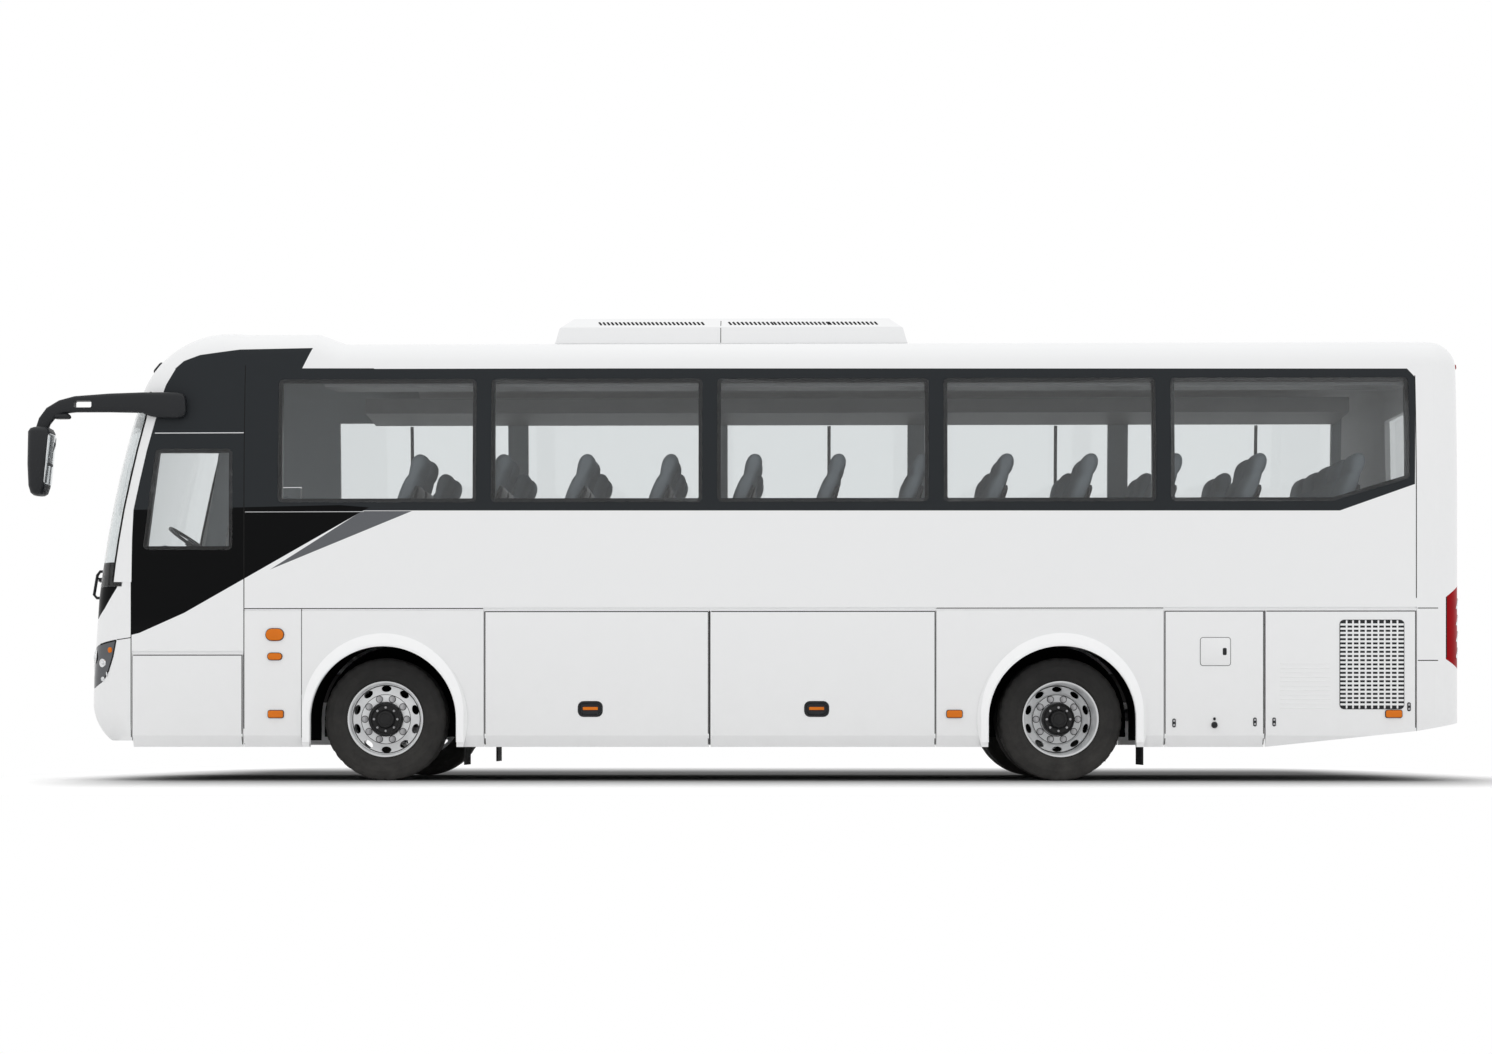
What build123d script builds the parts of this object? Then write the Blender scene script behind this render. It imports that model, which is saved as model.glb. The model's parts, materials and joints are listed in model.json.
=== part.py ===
"""A single-deck touring midibus with a rear engine, built from its real panels.

Millimetres. +X points to the front, +Y to the driver's (left) side, +Z up.
The origin lies on the ground, under the middle of the overall length.
"""

import os
from math import cos, radians, sin, sqrt

from build123d import *

# Driving dimensions of the vehicle
WHEELBASE = 5370
FRONT_OVERHANG = 2470
REAR_OVERHANG = 3160
MIRROR_REACH = 326
BODY_WIDTH = 2500
ROOF_Z = 3500
DOME_RISE = 80
WALL = 55
GLASS = 10
CORNER_R = 230
SIDE_CURVE_R = 13000
BOW_R = 5000
FIT = 0.3

# Stations along the bus, from the overall length
OVERALL = MIRROR_REACH + FRONT_OVERHANG + WHEELBASE + REAR_OVERHANG
TAIL_X = -OVERALL / 2
NOSE_X = OVERALL / 2 - MIRROR_REACH
FRONT_AXLE_X = NOSE_X - FRONT_OVERHANG
REAR_AXLE_X = FRONT_AXLE_X - WHEELBASE
BOW_AXIS_X = NOSE_X - BOW_R
HALF = BODY_WIDTH / 2
INNER = HALF - WALL

# Panel seams, measured back from the nose
CAB_FRONT_X = NOSE_X - 473
CAB_REAR_X = NOSE_X - 1360
DOME_SEAM_X = NOSE_X - 2390
FIRST_PILLAR_X = NOSE_X - 3268
BAY = 1790
PILLAR_X = [FIRST_PILLAR_X - BAY * i for i in range(4)]
ENGINE_SEAM_X = TAIL_X + 1566
REAR_CAP_X = TAIL_X + 373

# Heights
SKIRT_Z = 268
CAB_FLAP_Z = 1007
FLAP_Z = 1350
COWL_Z = 1441
PANEL_Z = 1380
BELT_Z = 2140
CAB_TOP_Z = 2758
CANTRAIL_Z = 3270
REAR_SKIRT_Z = 394
TAIL_SKIRT_Z = 455
DECK_Z = 1450
DECK_T = 80
PLATFORM_Z = 1150

# Windows
GLASS_LOW_Z = 2206
GLASS_HIGH_Z = 3186
PILLAR_W = 118
WINDOW_R = 40
FRONT_WINDOW_X = NOSE_X - 1635
REAR_WINDOW_X = TAIL_X + 430
REAR_WINDOW_CUT = (597, 180)

# Hinge: a bead on the panel above, held in a round socket on the flap's top edge
BEAD_R = 7
BEAD_FIT = 0.1
SOCKET_R = 12
HINGE_INSET = 13
HINGE_RISE = 21
HINGE_WEB = 4
HINGE_DROP = 8
SOCKET_FROM, SOCKET_TO = 120, 325
FLAP_T = 40
FLAP_GAP = 6
TUCK_H, TUCK_D = 90, 34

# Wheels and axles
TYRE_R = 488
TYRE_W = 250
RIM_R = 299
RIM_BORE_R = 285
WHEEL_Y = 1030
TWIN_PITCH = 292
KINGPIN_Y = 870
KINGPIN_R = 26
SPINDLE_R = 40
SPINDLE_FIT = 0.06
AXLE_Z = TYRE_R
STEER_ARM = 200
TIE_ROD_R = 16
ARCH_R = 584
ARCH_LIP = 88
ARCH_LIP_T = 10
LINER_R = 625
LINER_T = 10
LINER_Y = 560

# Entrance door
DOOR_REAR_X = CAB_REAR_X + 45
DOOR_FRONT_X = CAB_FRONT_X - 42
DOOR_TOP_Z = 2590
DOOR_LOW_Z = 300
DOOR_GAP = 10
DOOR_POST_X = NOSE_X - 730
DOOR_POST_Y = -1105
DOOR_POST_R = 24
DOOR_ARM = 450
DOOR_ARM_Z = (640, 1330)
DOOR_ARM_T = 36
DOOR_PIN_R = 10
PIN_FIT = 0.06

os.makedirs("parts", exist_ok=True)


def keep(shape, name):
    """Labels a finished piece and writes it as its own file."""
    shape.label = name
    export_step(shape, f"parts/{name}.step")


def band(points, y_from, y_to):
    """A prism of a side-view outline, points (x, z), between two widths."""
    with BuildPart() as prism:
        with BuildSketch(Plane.XZ.offset(-y_from)):
            Polygon(*points, align=None)
        extrude(amount=y_from - y_to)
    return prism.part


def rounded_band(points, radius, y_from, y_to):
    """The same prism with its corners rounded, as a window opening is."""
    with BuildPart() as prism:
        with BuildSketch(Plane.XZ.offset(-y_from)) as outline:
            Polygon(*points, align=None)
            fillet(outline.vertices(), radius)
        extrude(amount=y_from - y_to)
    return prism.part


def end_band(points, x_from, x_to):
    """A prism of an end-view outline, points (y, z), between two stations."""
    with BuildPart() as prism:
        with BuildSketch(Plane.YZ.offset(x_from)):
            Polygon(*points, align=None)
        extrude(amount=x_to - x_from)
    return prism.part


def block(x, y, z):
    """A plain block between three (low, high) pairs."""
    with BuildPart() as solid:
        with Locations(((x[0] + x[1]) / 2, (y[0] + y[1]) / 2, (z[0] + z[1]) / 2)):
            Box(x[1] - x[0], y[1] - y[0], z[1] - z[0])
    return solid.part


def rod(start, end, radius):
    """A round bar between two points."""
    path = Vector(*end) - Vector(*start)
    with BuildPart() as bar:
        with BuildSketch(Plane(origin=start, z_dir=path)):
            Circle(radius)
        extrude(amount=path.length)
    return bar.part


def whole(half):
    """A full-width piece made from its left half."""
    return half + mirror(half, about=Plane.XZ)


def both_sides(shape):
    """A piece and its mirror image about the bus's middle plane."""
    return [shape, mirror(shape, about=Plane.XZ)]


# Nose outline at the middle of the bus: (distance behind the nose, height)
BUMPER_LOW = (130, 330)
BUMPER_MID = (40, 450)
BUMPER_FULL = (0, 620)
LAMP_TOP = (4, 820)
COWL = (44, COWL_Z)
SCREEN_MID = (150, 2150)
SCREEN_TOP = (375, 3063)
DOME_CREST = 1200
DOME_TRAIL = 1780
DOME_FOOT = 1980


def side_y(z, inset):
    """Half width of the body at a height above the belt."""
    curve = SIDE_CURVE_R - inset
    return HALF - inset - curve + sqrt(curve**2 - (z - BELT_Z) ** 2)


def side_section(inset, top, bottom):
    """Left half of the body's cross-section: an upright side that leans in above the belt."""
    half = HALF - inset
    mid_z = (top + BELT_Z) / 2
    mid_y, top_y = side_y(mid_z, inset), side_y(top, inset)
    with BuildSketch() as section:
        with BuildLine():
            Line((0, bottom), (half, bottom))
            Line((half, bottom), (half, BELT_Z))
            ThreePointArc((half, BELT_Z), (mid_y, mid_z), (top_y, top))
            Line((top_y, top), (0, top))
            Line((0, top), (0, bottom))
        make_face()
    return section.sketch


def body_form(inset, bottom=200):
    """Left half of the body's outer form, or of that form moved inwards by the inset."""
    roof, crest = ROOF_Z - inset, ROOF_Z + DOME_RISE - inset

    def nose(point):
        return (BOW_R - inset - point[0], point[1])

    joint_x = DOME_SEAM_X - 300
    with BuildPart() as form:
        turn_plane = Plane((BOW_AXIS_X, 0, 0), x_dir=(1, 0, 0), z_dir=(0, -1, 0))
        with BuildSketch(turn_plane):
            with BuildLine():
                low = (nose(BUMPER_LOW)[0] - 60, BUMPER_LOW[1] - 40)
                crest_start = (BOW_R - DOME_CREST, crest)
                Line((0, bottom), (low[0], bottom))
                Line((low[0], bottom), low)
                Line(low, nose(BUMPER_LOW))
                ThreePointArc(nose(BUMPER_LOW), nose(BUMPER_MID), nose(BUMPER_FULL))
                Line(nose(BUMPER_FULL), nose(LAMP_TOP))
                Line(nose(LAMP_TOP), nose(COWL))
                screen = ThreePointArc(nose(COWL), nose(SCREEN_MID), nose(SCREEN_TOP))
                TangentArc(screen @ 1, crest_start, tangent=screen % 1)
                Line(crest_start, (BOW_R - DOME_TRAIL, crest))
                Line((BOW_R - DOME_TRAIL, crest), (BOW_R - DOME_FOOT, roof))
                Line((BOW_R - DOME_FOOT, roof), (0, roof))
                Line((0, roof), (0, bottom))
            make_face()
        revolve(axis=Axis((BOW_AXIS_X, 0, 0), (0, 0, 1)), revolution_arc=90)
        with BuildSketch(Plane.YZ.offset(joint_x)):
            add(side_section(inset, ROOF_Z + 2 * DOME_RISE, bottom))
        extrude(amount=NOSE_X - joint_x, mode=Mode.INTERSECT)
        with BuildSketch(Plane.YZ.offset(TAIL_X + inset)):
            add(side_section(inset, roof, bottom))
        extrude(amount=joint_x - TAIL_X - inset)
        shoulder = HALF - inset - 150
        rims = [
            edge
            for edge in form.edges()
            if edge.center().Y > shoulder
            and edge.center().Z > bottom + 1
            and not (edge.geom_type == GeomType.LINE and abs(edge.center().Z - BELT_Z) < 1)
        ]
        rims += form.edges().filter_by(Axis.Y).group_by(Axis.X)[0].group_by(Axis.Z)[-1]
        fillet(rims, CORNER_R - inset)
    return form.part


outer = body_form(0)
inner = body_form(WALL, bottom=0)
shell = outer - inner
skin = outer - body_form(GLASS, bottom=0)


def glazed(panel, panes):
    """Cuts each window with a ledge for its glass; gives the panel and the glass."""
    glass = []
    for points, ledge, radius, y_from, y_to in panes:
        with BuildPart() as hole:
            with BuildSketch(Plane.XZ.offset(-y_from)) as outline:
                Polygon(*points, align=None)
                fillet(outline.vertices(), radius)
                offset(amount=-ledge, mode=Mode.REPLACE)
            extrude(amount=y_from - y_to)
        pane = skin & rounded_band(points, radius, y_from, y_to)
        panel = panel - hole.part - pane
        glass.append(pane)
    return panel, glass


def hinge_rail(x_from, x_to, height):
    """Bead and web under a left-hand panel, from which a flap hangs."""
    with BuildPart() as rail:
        centre = (x_from, HALF - HINGE_INSET, height)
        with BuildSketch(Plane(centre, x_dir=(0, 1, 0), z_dir=(1, 0, 0))):
            Circle(BEAD_R)
            with Locations((0, HINGE_RISE / 2)):
                Rectangle(HINGE_WEB, HINGE_RISE)
        extrude(amount=x_to - x_from)
    return rail.part


def flap_section(drop, tuck=True):
    """Flap seen along its hinge: panel and round socket, hinge centre at the origin."""
    out, back = HINGE_INSET, HINGE_INSET - FLAP_T
    hold = BEAD_R + BEAD_FIT
    foot = [(out, -drop), (back, -drop)]
    if tuck:
        foot = [(out, TUCK_H - drop), (out - TUCK_D, -drop), (back, -drop)]
    with BuildSketch() as section:
        Polygon((out, -HINGE_DROP), *foot, (back, -HINGE_DROP), align=None)
        with BuildLine():
            CenterArc((0, 0), SOCKET_R, SOCKET_FROM, SOCKET_TO - SOCKET_FROM)
            CenterArc((0, 0), hold, SOCKET_FROM, SOCKET_TO - SOCKET_FROM)
            for angle in (SOCKET_FROM, SOCKET_TO):
                turn = (cos(radians(angle)), sin(radians(angle)))
                Line((hold * turn[0], hold * turn[1]), (SOCKET_R * turn[0], SOCKET_R * turn[1]))
        make_face()
    return section.sketch


def side_flap(x_from, x_to, height, bottom):
    """A left-hand flap hung at the given height."""
    with BuildPart() as flap:
        centre = (x_from, HALF - HINGE_INSET, height)
        with BuildSketch(Plane(centre, x_dir=(0, 1, 0), z_dir=(1, 0, 0))):
            add(flap_section(height - bottom))
        extrude(amount=x_to - x_from)
    return flap.part


# Side windows from front to rear, as side-view outlines
half_pillar = PILLAR_W / 2
window_ends = [FRONT_WINDOW_X] + [x - half_pillar for x in PILLAR_X]
window_tails = [x + half_pillar for x in PILLAR_X] + [REAR_WINDOW_X]
side_windows = []
for window_front, window_rear in zip(window_ends, window_tails):
    corners = [(window_front, GLASS_LOW_Z), (window_front, GLASS_HIGH_Z), (window_rear, GLASS_HIGH_Z)]
    if window_rear == REAR_WINDOW_X:
        corners += [(window_rear, GLASS_LOW_Z + REAR_WINDOW_CUT[1])]
        corners += [(window_rear + REAR_WINDOW_CUT[0], GLASS_LOW_Z)]
    else:
        corners += [(window_rear, GLASS_LOW_Z)]
    side_windows.append(corners)
LEDGE = 30
OUT_Y = HALF + 60

# Side walls between the waist and the roof edge
wall_outline = [
    (REAR_CAP_X, FLAP_Z + HINGE_RISE),
    (CAB_REAR_X, FLAP_Z + HINGE_RISE),
    (CAB_REAR_X, CANTRAIL_Z),
    (REAR_CAP_X, CANTRAIL_Z),
]
wall_panes = [(points, LEDGE, WINDOW_R, INNER - 200, OUT_Y) for points in side_windows]
wall, wall_glass = glazed(shell & band(wall_outline, 0, OUT_Y), wall_panes)
with BuildPart() as side_wall_left:
    add(wall)
    add(hinge_rail(PILLAR_X[2], PILLAR_X[0], FLAP_Z))
    add(hinge_rail(REAR_CAP_X, PILLAR_X[3], FLAP_Z))
keep(side_wall_left.part, "side_wall_left")
keep(mirror(side_wall_left.part, about=Plane.XZ), "side_wall_right")

# Cab wall with the driver's window, and its frame on the entrance side
PILLAR_FOOT = (NOSE_X - 478, 1500)
PILLAR_HEAD = (NOSE_X - 640, CAB_TOP_Z)
cab_edge = [(CAB_FRONT_X, PANEL_Z), PILLAR_FOOT, PILLAR_HEAD, (CAB_REAR_X, CAB_TOP_Z)]
cab_foot = CAB_FLAP_Z + HINGE_RISE
cab_outline = [(CAB_REAR_X, cab_foot), (CAB_FRONT_X, cab_foot)] + cab_edge
driver_window = [
    (NOSE_X - 559, 1830),
    (NOSE_X - 662, 2632),
    (NOSE_X - 1273, 2632),
    (NOSE_X - 1273, 1830),
]
driver_panes = [(driver_window, LEDGE, WINDOW_R, INNER - 200, OUT_Y)]
cab_panel, driver_glass = glazed(shell & band(cab_outline, 0, OUT_Y), driver_panes)
with BuildPart() as cab_wall_left:
    add(cab_panel)
    add(hinge_rail(CAB_REAR_X, CAB_FRONT_X, CAB_FLAP_Z))
keep(cab_wall_left.part, "cab_wall_left")
with BuildPart() as side_glass_left:
    add(wall_glass + driver_glass)
keep(side_glass_left.part, "side_glass_left")
with BuildPart() as side_glass_right:
    add([mirror(pane, about=Plane.XZ) for pane in wall_glass])
keep(side_glass_right.part, "side_glass_right")

DOOR_SLANT_Z = 1400
DOOR_FRONT_TOP_X = NOSE_X - 711


def door_outline(gap, low):
    """Side-view outline of the entrance, or of its leaf when a gap is given."""
    return [
        (DOOR_REAR_X + gap, low),
        (DOOR_FRONT_X - gap, low),
        (DOOR_FRONT_X - gap, DOOR_SLANT_Z),
        (DOOR_FRONT_TOP_X - gap, DOOR_TOP_Z - gap),
        (DOOR_REAR_X + gap, DOOR_TOP_Z - gap),
    ]


entry_outline = [(CAB_REAR_X, SKIRT_Z), (CAB_FRONT_X, SKIRT_Z)] + cab_edge
with BuildPart() as cab_wall_right:
    add(shell & band(entry_outline, 0, OUT_Y))
    add(band(door_outline(0, 0), 0, OUT_Y), mode=Mode.SUBTRACT)
    mirror(about=Plane.XZ, mode=Mode.REPLACE)
keep(cab_wall_right.part, "cab_wall_right")

# Entrance door leaf with its glass and the two brackets its arms turn in
DOOR_HINGE_X = DOOR_POST_X - DOOR_ARM
BRACKET_T = 20
BRACKET_HALF = 25
door_window = [
    (DOOR_REAR_X + 90, 620),
    (DOOR_FRONT_X - 90, 620),
    (DOOR_FRONT_X - 90, DOOR_SLANT_Z),
    (DOOR_FRONT_TOP_X - 80, DOOR_TOP_Z - 110),
    (DOOR_REAR_X + 90, DOOR_TOP_Z - 110),
]
leaf = shell & band(door_outline(DOOR_GAP, DOOR_LOW_Z), 0, OUT_Y)
leaf, door_glass = glazed(leaf, [(door_window, LEDGE, WINDOW_R, INNER - 200, OUT_Y)])
with BuildPart() as passenger_door:
    add(mirror(leaf, about=Plane.XZ))
    for arm_z in DOOR_ARM_Z:
        top = arm_z - DOOR_ARM_T / 2 - 1
        add(block((DOOR_REAR_X + 20, DOOR_HINGE_X + 25), (-INNER, -INNER + 20), (top - 60, top)))
        bracket_x = (DOOR_HINGE_X - BRACKET_HALF, DOOR_HINGE_X + BRACKET_HALF)
        add(block(bracket_x, (-INNER, DOOR_POST_Y + BRACKET_HALF), (top - BRACKET_T, top)))
        with Locations((DOOR_HINGE_X, DOOR_POST_Y, top - BRACKET_T / 2)):
            Cylinder(DOOR_PIN_R + PIN_FIT, 4 * BRACKET_T, mode=Mode.SUBTRACT)
keep(passenger_door.part, "passenger_door")
with BuildPart() as passenger_door_glass:
    add([mirror(pane, about=Plane.XZ) for pane in door_glass])
keep(passenger_door_glass.part, "passenger_door_glass")

# Entrance steps with the driver's platform
STEP_T = 40
STEP_X = (CAB_REAR_X, CAB_FRONT_X)
PLATFORM_TOE_X = NOSE_X - 420
PLATFORM_TOE_Y = INNER - 150
STEP_Z = (380, 640, 900)
STEP_RUN = 265
STEP_EDGE_Y = -INNER + 10
tread_ends = [STEP_EDGE_Y + STEP_RUN * (i + 1) + 20 for i in range(len(STEP_Z))]
steps_top = [(STEP_EDGE_Y, STEP_Z[0])]
steps_low = [(STEP_EDGE_Y, STEP_Z[0] - STEP_T)]
for tread_z, next_z, tread_y in zip(STEP_Z, STEP_Z[1:] + (PLATFORM_Z,), tread_ends):
    steps_top += [(tread_y, tread_z), (tread_y, next_z)]
    steps_low += [(tread_y + STEP_T, tread_z - STEP_T), (tread_y + STEP_T, next_z - STEP_T)]
steps_outline = steps_top + [(INNER, PLATFORM_Z), (INNER, PLATFORM_Z - STEP_T)] + steps_low[::-1]
POST_PIN_R = 12
POST_PIN_H = 80
with BuildPart() as entrance_steps:
    add(end_band(steps_outline, *STEP_X))
    toe_z = (PLATFORM_Z - STEP_T, PLATFORM_Z)
    add(block((CAB_FRONT_X, PLATFORM_TOE_X), (tread_ends[-1], PLATFORM_TOE_Y), toe_z))
    post = (DOOR_POST_X, DOOR_POST_Y)
    add(rod((*post, STEP_Z[0] - 10), (*post, STEP_Z[0] + POST_PIN_H), POST_PIN_R))
keep(entrance_steps.part, "entrance_steps")

# Turning post and arms of the entrance door
POST_TOP_Z = 1420
with BuildPart() as door_arm:
    add(rod((DOOR_POST_X, DOOR_POST_Y, STEP_Z[0] + 1), (DOOR_POST_X, DOOR_POST_Y, POST_TOP_Z), DOOR_POST_R))
    pin_foot = (DOOR_POST_X, DOOR_POST_Y, STEP_Z[0])
    pin_head = (DOOR_POST_X, DOOR_POST_Y, STEP_Z[0] + POST_PIN_H + 2)
    add(rod(pin_foot, pin_head, POST_PIN_R + PIN_FIT), mode=Mode.SUBTRACT)
    for arm_z in DOOR_ARM_Z:
        span_z = (arm_z - DOOR_ARM_T / 2, arm_z + DOOR_ARM_T / 2)
        add(block((DOOR_HINGE_X - 16, DOOR_POST_X - 20), (DOOR_POST_Y - 15, DOOR_POST_Y + 15), span_z))
        pin_z = (arm_z, arm_z - DOOR_ARM_T / 2 - 1 - BRACKET_T)
        add(rod((DOOR_HINGE_X, DOOR_POST_Y, pin_z[0]), (DOOR_HINGE_X, DOOR_POST_Y, pin_z[1]), DOOR_PIN_R))
keep(door_arm.part, "door_arm")

# Roof, and the front dome with its screen pillars
TOP_Z = ROOF_Z + 300
roof_outline = [
    (REAR_CAP_X, CANTRAIL_Z),
    (DOME_SEAM_X, CANTRAIL_Z),
    (DOME_SEAM_X, TOP_Z),
    (REAR_CAP_X, TOP_Z),
]
with BuildPart() as roof:
    add(whole(shell & band(roof_outline, 0, OUT_Y)))
keep(roof.part, "roof")

SCREEN_LOW_Z = 1540
SCREEN_HIGH_Z = 3050
screen_outline = [
    (NOSE_X - 392, SCREEN_LOW_Z),
    (NOSE_X + 50, SCREEN_LOW_Z),
    (NOSE_X + 50, SCREEN_HIGH_Z),
    (NOSE_X - 639, SCREEN_HIGH_Z),
]
screen_hole = [
    (NOSE_X - 392 + LEDGE, SCREEN_LOW_Z + LEDGE),
    (NOSE_X + 50, SCREEN_LOW_Z + LEDGE),
    (NOSE_X + 50, SCREEN_HIGH_Z - LEDGE),
    (NOSE_X - 639 + 1.4 * LEDGE, SCREEN_HIGH_Z - LEDGE),
]
dome_outline = [
    (DOME_SEAM_X, CANTRAIL_Z),
    (CAB_REAR_X, CANTRAIL_Z),
    (CAB_REAR_X, CAB_TOP_Z),
    PILLAR_HEAD,
    PILLAR_FOOT,
    (CAB_FRONT_X, PANEL_Z),
    (NOSE_X + 50, PANEL_Z),
    (NOSE_X + 50, TOP_Z),
    (DOME_SEAM_X, TOP_Z),
]
with BuildPart() as windscreen:
    add(whole(skin & band(screen_outline, 0, OUT_Y)))
keep(windscreen.part, "windscreen")
with BuildPart() as front_cap:
    add(whole(shell & band(dome_outline, 0, OUT_Y)))
    add(band(screen_hole, -OUT_Y, OUT_Y), mode=Mode.SUBTRACT)
    add(windscreen.part, mode=Mode.SUBTRACT)
keep(front_cap.part, "front_cap")

# Lower front panel with the corner lamps let into it
LAMP_T = 40
lamp_side = [
    (NOSE_X - 348, 1118),
    (NOSE_X - 322, 985),
    (NOSE_X - 285, 870),
    (NOSE_X - 235, 785),
    (NOSE_X - 150, 735),
    (NOSE_X + 50, 735),
    (NOSE_X + 50, 965),
    (NOSE_X - 60, 1015),
    (NOSE_X - 190, 1080),
]
lamp_front = [(720, 700), (HALF + 10, 700), (HALF + 10, 1200), (760, 1200)]
lamp_space = band(lamp_side, 0, OUT_Y) & end_band(lamp_front, NOSE_X - 500, NOSE_X + 50)
lamp_body = (outer - body_form(LAMP_T, bottom=0)) & lamp_space
with BuildPart() as headlamps:
    add(both_sides(lamp_body))
keep(headlamps.part, "headlamps")
bumper_outline = [
    (CAB_FRONT_X, SKIRT_Z + 50),
    (NOSE_X + 50, SKIRT_Z + 50),
    (NOSE_X + 50, PANEL_Z),
    (CAB_FRONT_X, PANEL_Z),
]
with BuildPart() as front_bumper:
    add(whole(shell & band(bumper_outline, 0, OUT_Y)))
    add(headlamps.part, mode=Mode.SUBTRACT)
keep(front_bumper.part, "front_bumper")

# Rear end: cap, glass, lamps and the engine hatch
HATCH_HALF = 820
HATCH_LOW_Z = 560
HATCH_Z = 1330
LOUVRE_Z = 930
LOUVRE_ROWS = 9
LOUVRE_PITCH = 48
LOUVRE_SLOT = (1150, 24)
rear_outline = [
    (TAIL_X - 50, TAIL_SKIRT_Z + 15),
    (REAR_CAP_X, REAR_SKIRT_Z),
    (REAR_CAP_X, TOP_Z),
    (TAIL_X - 50, TOP_Z),
]
REAR_PANE_Z = (2180, 3150)
REAR_PANE_HALF = (880, 940)


def rear_window(inset):
    """Outline (y, z) of the rear window, drawn in from the edge of its glass."""
    half_low, half_high = (half - inset for half in REAR_PANE_HALF)
    low, high = REAR_PANE_Z[0] + inset, REAR_PANE_Z[1] - inset
    return [(half_low, low), (half_high, high), (-half_high, high), (-half_low, low)]


hatch_hole = [
    (HATCH_HALF, HATCH_LOW_Z),
    (HATCH_HALF, HATCH_Z + HINGE_RISE),
    (-HATCH_HALF, HATCH_Z + HINGE_RISE),
    (-HATCH_HALF, HATCH_LOW_Z),
]
tail_side = [(TAIL_X - 50, 850), (TAIL_X + 142, 960), (TAIL_X + 142, 1450), (TAIL_X - 50, 1590)]
tail_end = [(930, 800), (HALF + 10, 800), (HALF + 10, 1700), (930, 1700)]
rear_x = (TAIL_X - 50, TAIL_X + 2 * WALL)
with BuildPart() as rear_glass:
    add(whole(skin & end_band(rear_window(0), *rear_x)))
keep(rear_glass.part, "rear_glass")
tail_lamp = (outer - body_form(LAMP_T, bottom=0)) & band(tail_side, 0, OUT_Y)
tail_lamp = tail_lamp & end_band(tail_end, TAIL_X - 50, TAIL_X + 500)
with BuildPart() as tail_lamps:
    add(both_sides(tail_lamp))
keep(tail_lamps.part, "tail_lamps")


def rear_hinge_plane(y):
    """Sketch plane of the hatch hinge, outward to the rear, at a given width."""
    return Plane((TAIL_X + HINGE_INSET, y, HATCH_Z), x_dir=(-1, 0, 0), z_dir=(0, 1, 0))


with BuildPart() as rear_cap:
    add(whole(shell & band(rear_outline, 0, OUT_Y)))
    add(end_band(rear_window(LEDGE), *rear_x), mode=Mode.SUBTRACT)
    add(end_band(hatch_hole, *rear_x), mode=Mode.SUBTRACT)
    add(rear_glass.part, mode=Mode.SUBTRACT)
    add(tail_lamps.part, mode=Mode.SUBTRACT)
    with BuildSketch(rear_hinge_plane(-HATCH_HALF)):
        Circle(BEAD_R)
        with Locations((0, HINGE_RISE / 2)):
            Rectangle(HINGE_WEB, HINGE_RISE)
    extrude(amount=2 * HATCH_HALF)
keep(rear_cap.part, "rear_cap")
with BuildPart() as rear_hatch:
    with BuildSketch(rear_hinge_plane(FLAP_GAP - HATCH_HALF)):
        add(flap_section(HATCH_Z - HATCH_LOW_Z - FLAP_GAP, tuck=False))
    extrude(amount=2 * (HATCH_HALF - FLAP_GAP))
    with BuildSketch(Plane((TAIL_X - 50, 0, LOUVRE_Z), x_dir=(0, 1, 0), z_dir=(1, 0, 0))):
        with GridLocations(1, LOUVRE_PITCH, 1, LOUVRE_ROWS):
            Rectangle(*LOUVRE_SLOT)
    extrude(amount=200, mode=Mode.SUBTRACT)
keep(rear_hatch.part, "rear_hatch")

def across(x, y, z):
    """Sketch plane upright across the bus at a width, x forward and y up."""
    return Plane((x, y, z), x_dir=(1, 0, 0), z_dir=(0, -1, 0))


# Flaps below the waist: name, rear end, front end, hinge height, and whether both sides have it
flap_rows = [
    ("luggage_door_front", PILLAR_X[1], PILLAR_X[0], FLAP_Z, True),
    ("luggage_door_rear", PILLAR_X[2], PILLAR_X[1], FLAP_Z, True),
    ("service_door", ENGINE_SEAM_X, PILLAR_X[3], FLAP_Z, True),
    ("engine_door", REAR_CAP_X, ENGINE_SEAM_X, FLAP_Z, True),
    ("cab_flap", CAB_REAR_X, CAB_FRONT_X, CAB_FLAP_Z, False),
]
rising_cut = [
    (ENGINE_SEAM_X, SKIRT_Z),
    (REAR_CAP_X, REAR_SKIRT_Z),
    (REAR_CAP_X, SKIRT_Z - 100),
    (ENGINE_SEAM_X, SKIRT_Z - 100),
]
GRILLE_X, GRILLE_Z = TAIL_X + 727, 918
GRILLE_COLUMNS, GRILLE_ROWS = 5, 14
GRILLE_PITCH = (100, 49)
GRILLE_SLOT = (86, 28)
HANDLE_Z = 568
HANDLE_AHEAD = 50
HANDLE_SIZE = (190, 118)
HANDLE_R = 40
HANDLE_D = 14
for flap_name, flap_rear, flap_front, flap_z, paired in flap_rows:
    with BuildPart() as flap:
        add(side_flap(flap_rear + FLAP_GAP, flap_front - FLAP_GAP, flap_z, SKIRT_Z))
        if flap_name == "engine_door":
            add(band(rising_cut, 0, OUT_Y), mode=Mode.SUBTRACT)
            with BuildSketch(across(GRILLE_X, OUT_Y, GRILLE_Z)):
                with GridLocations(*GRILLE_PITCH, GRILLE_COLUMNS, GRILLE_ROWS):
                    Rectangle(*GRILLE_SLOT)
            extrude(amount=OUT_Y - INNER + FLAP_T, mode=Mode.SUBTRACT)
        if flap_name.startswith("luggage"):
            with BuildSketch(across((flap_rear + flap_front) / 2 + HANDLE_AHEAD, HALF, HANDLE_Z)):
                RectangleRounded(*HANDLE_SIZE, HANDLE_R)
            extrude(amount=HANDLE_D, mode=Mode.SUBTRACT)
    keep(flap.part, flap_name + "_left")
    if paired:
        keep(mirror(flap.part, about=Plane.XZ), flap_name + "_right")

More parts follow.
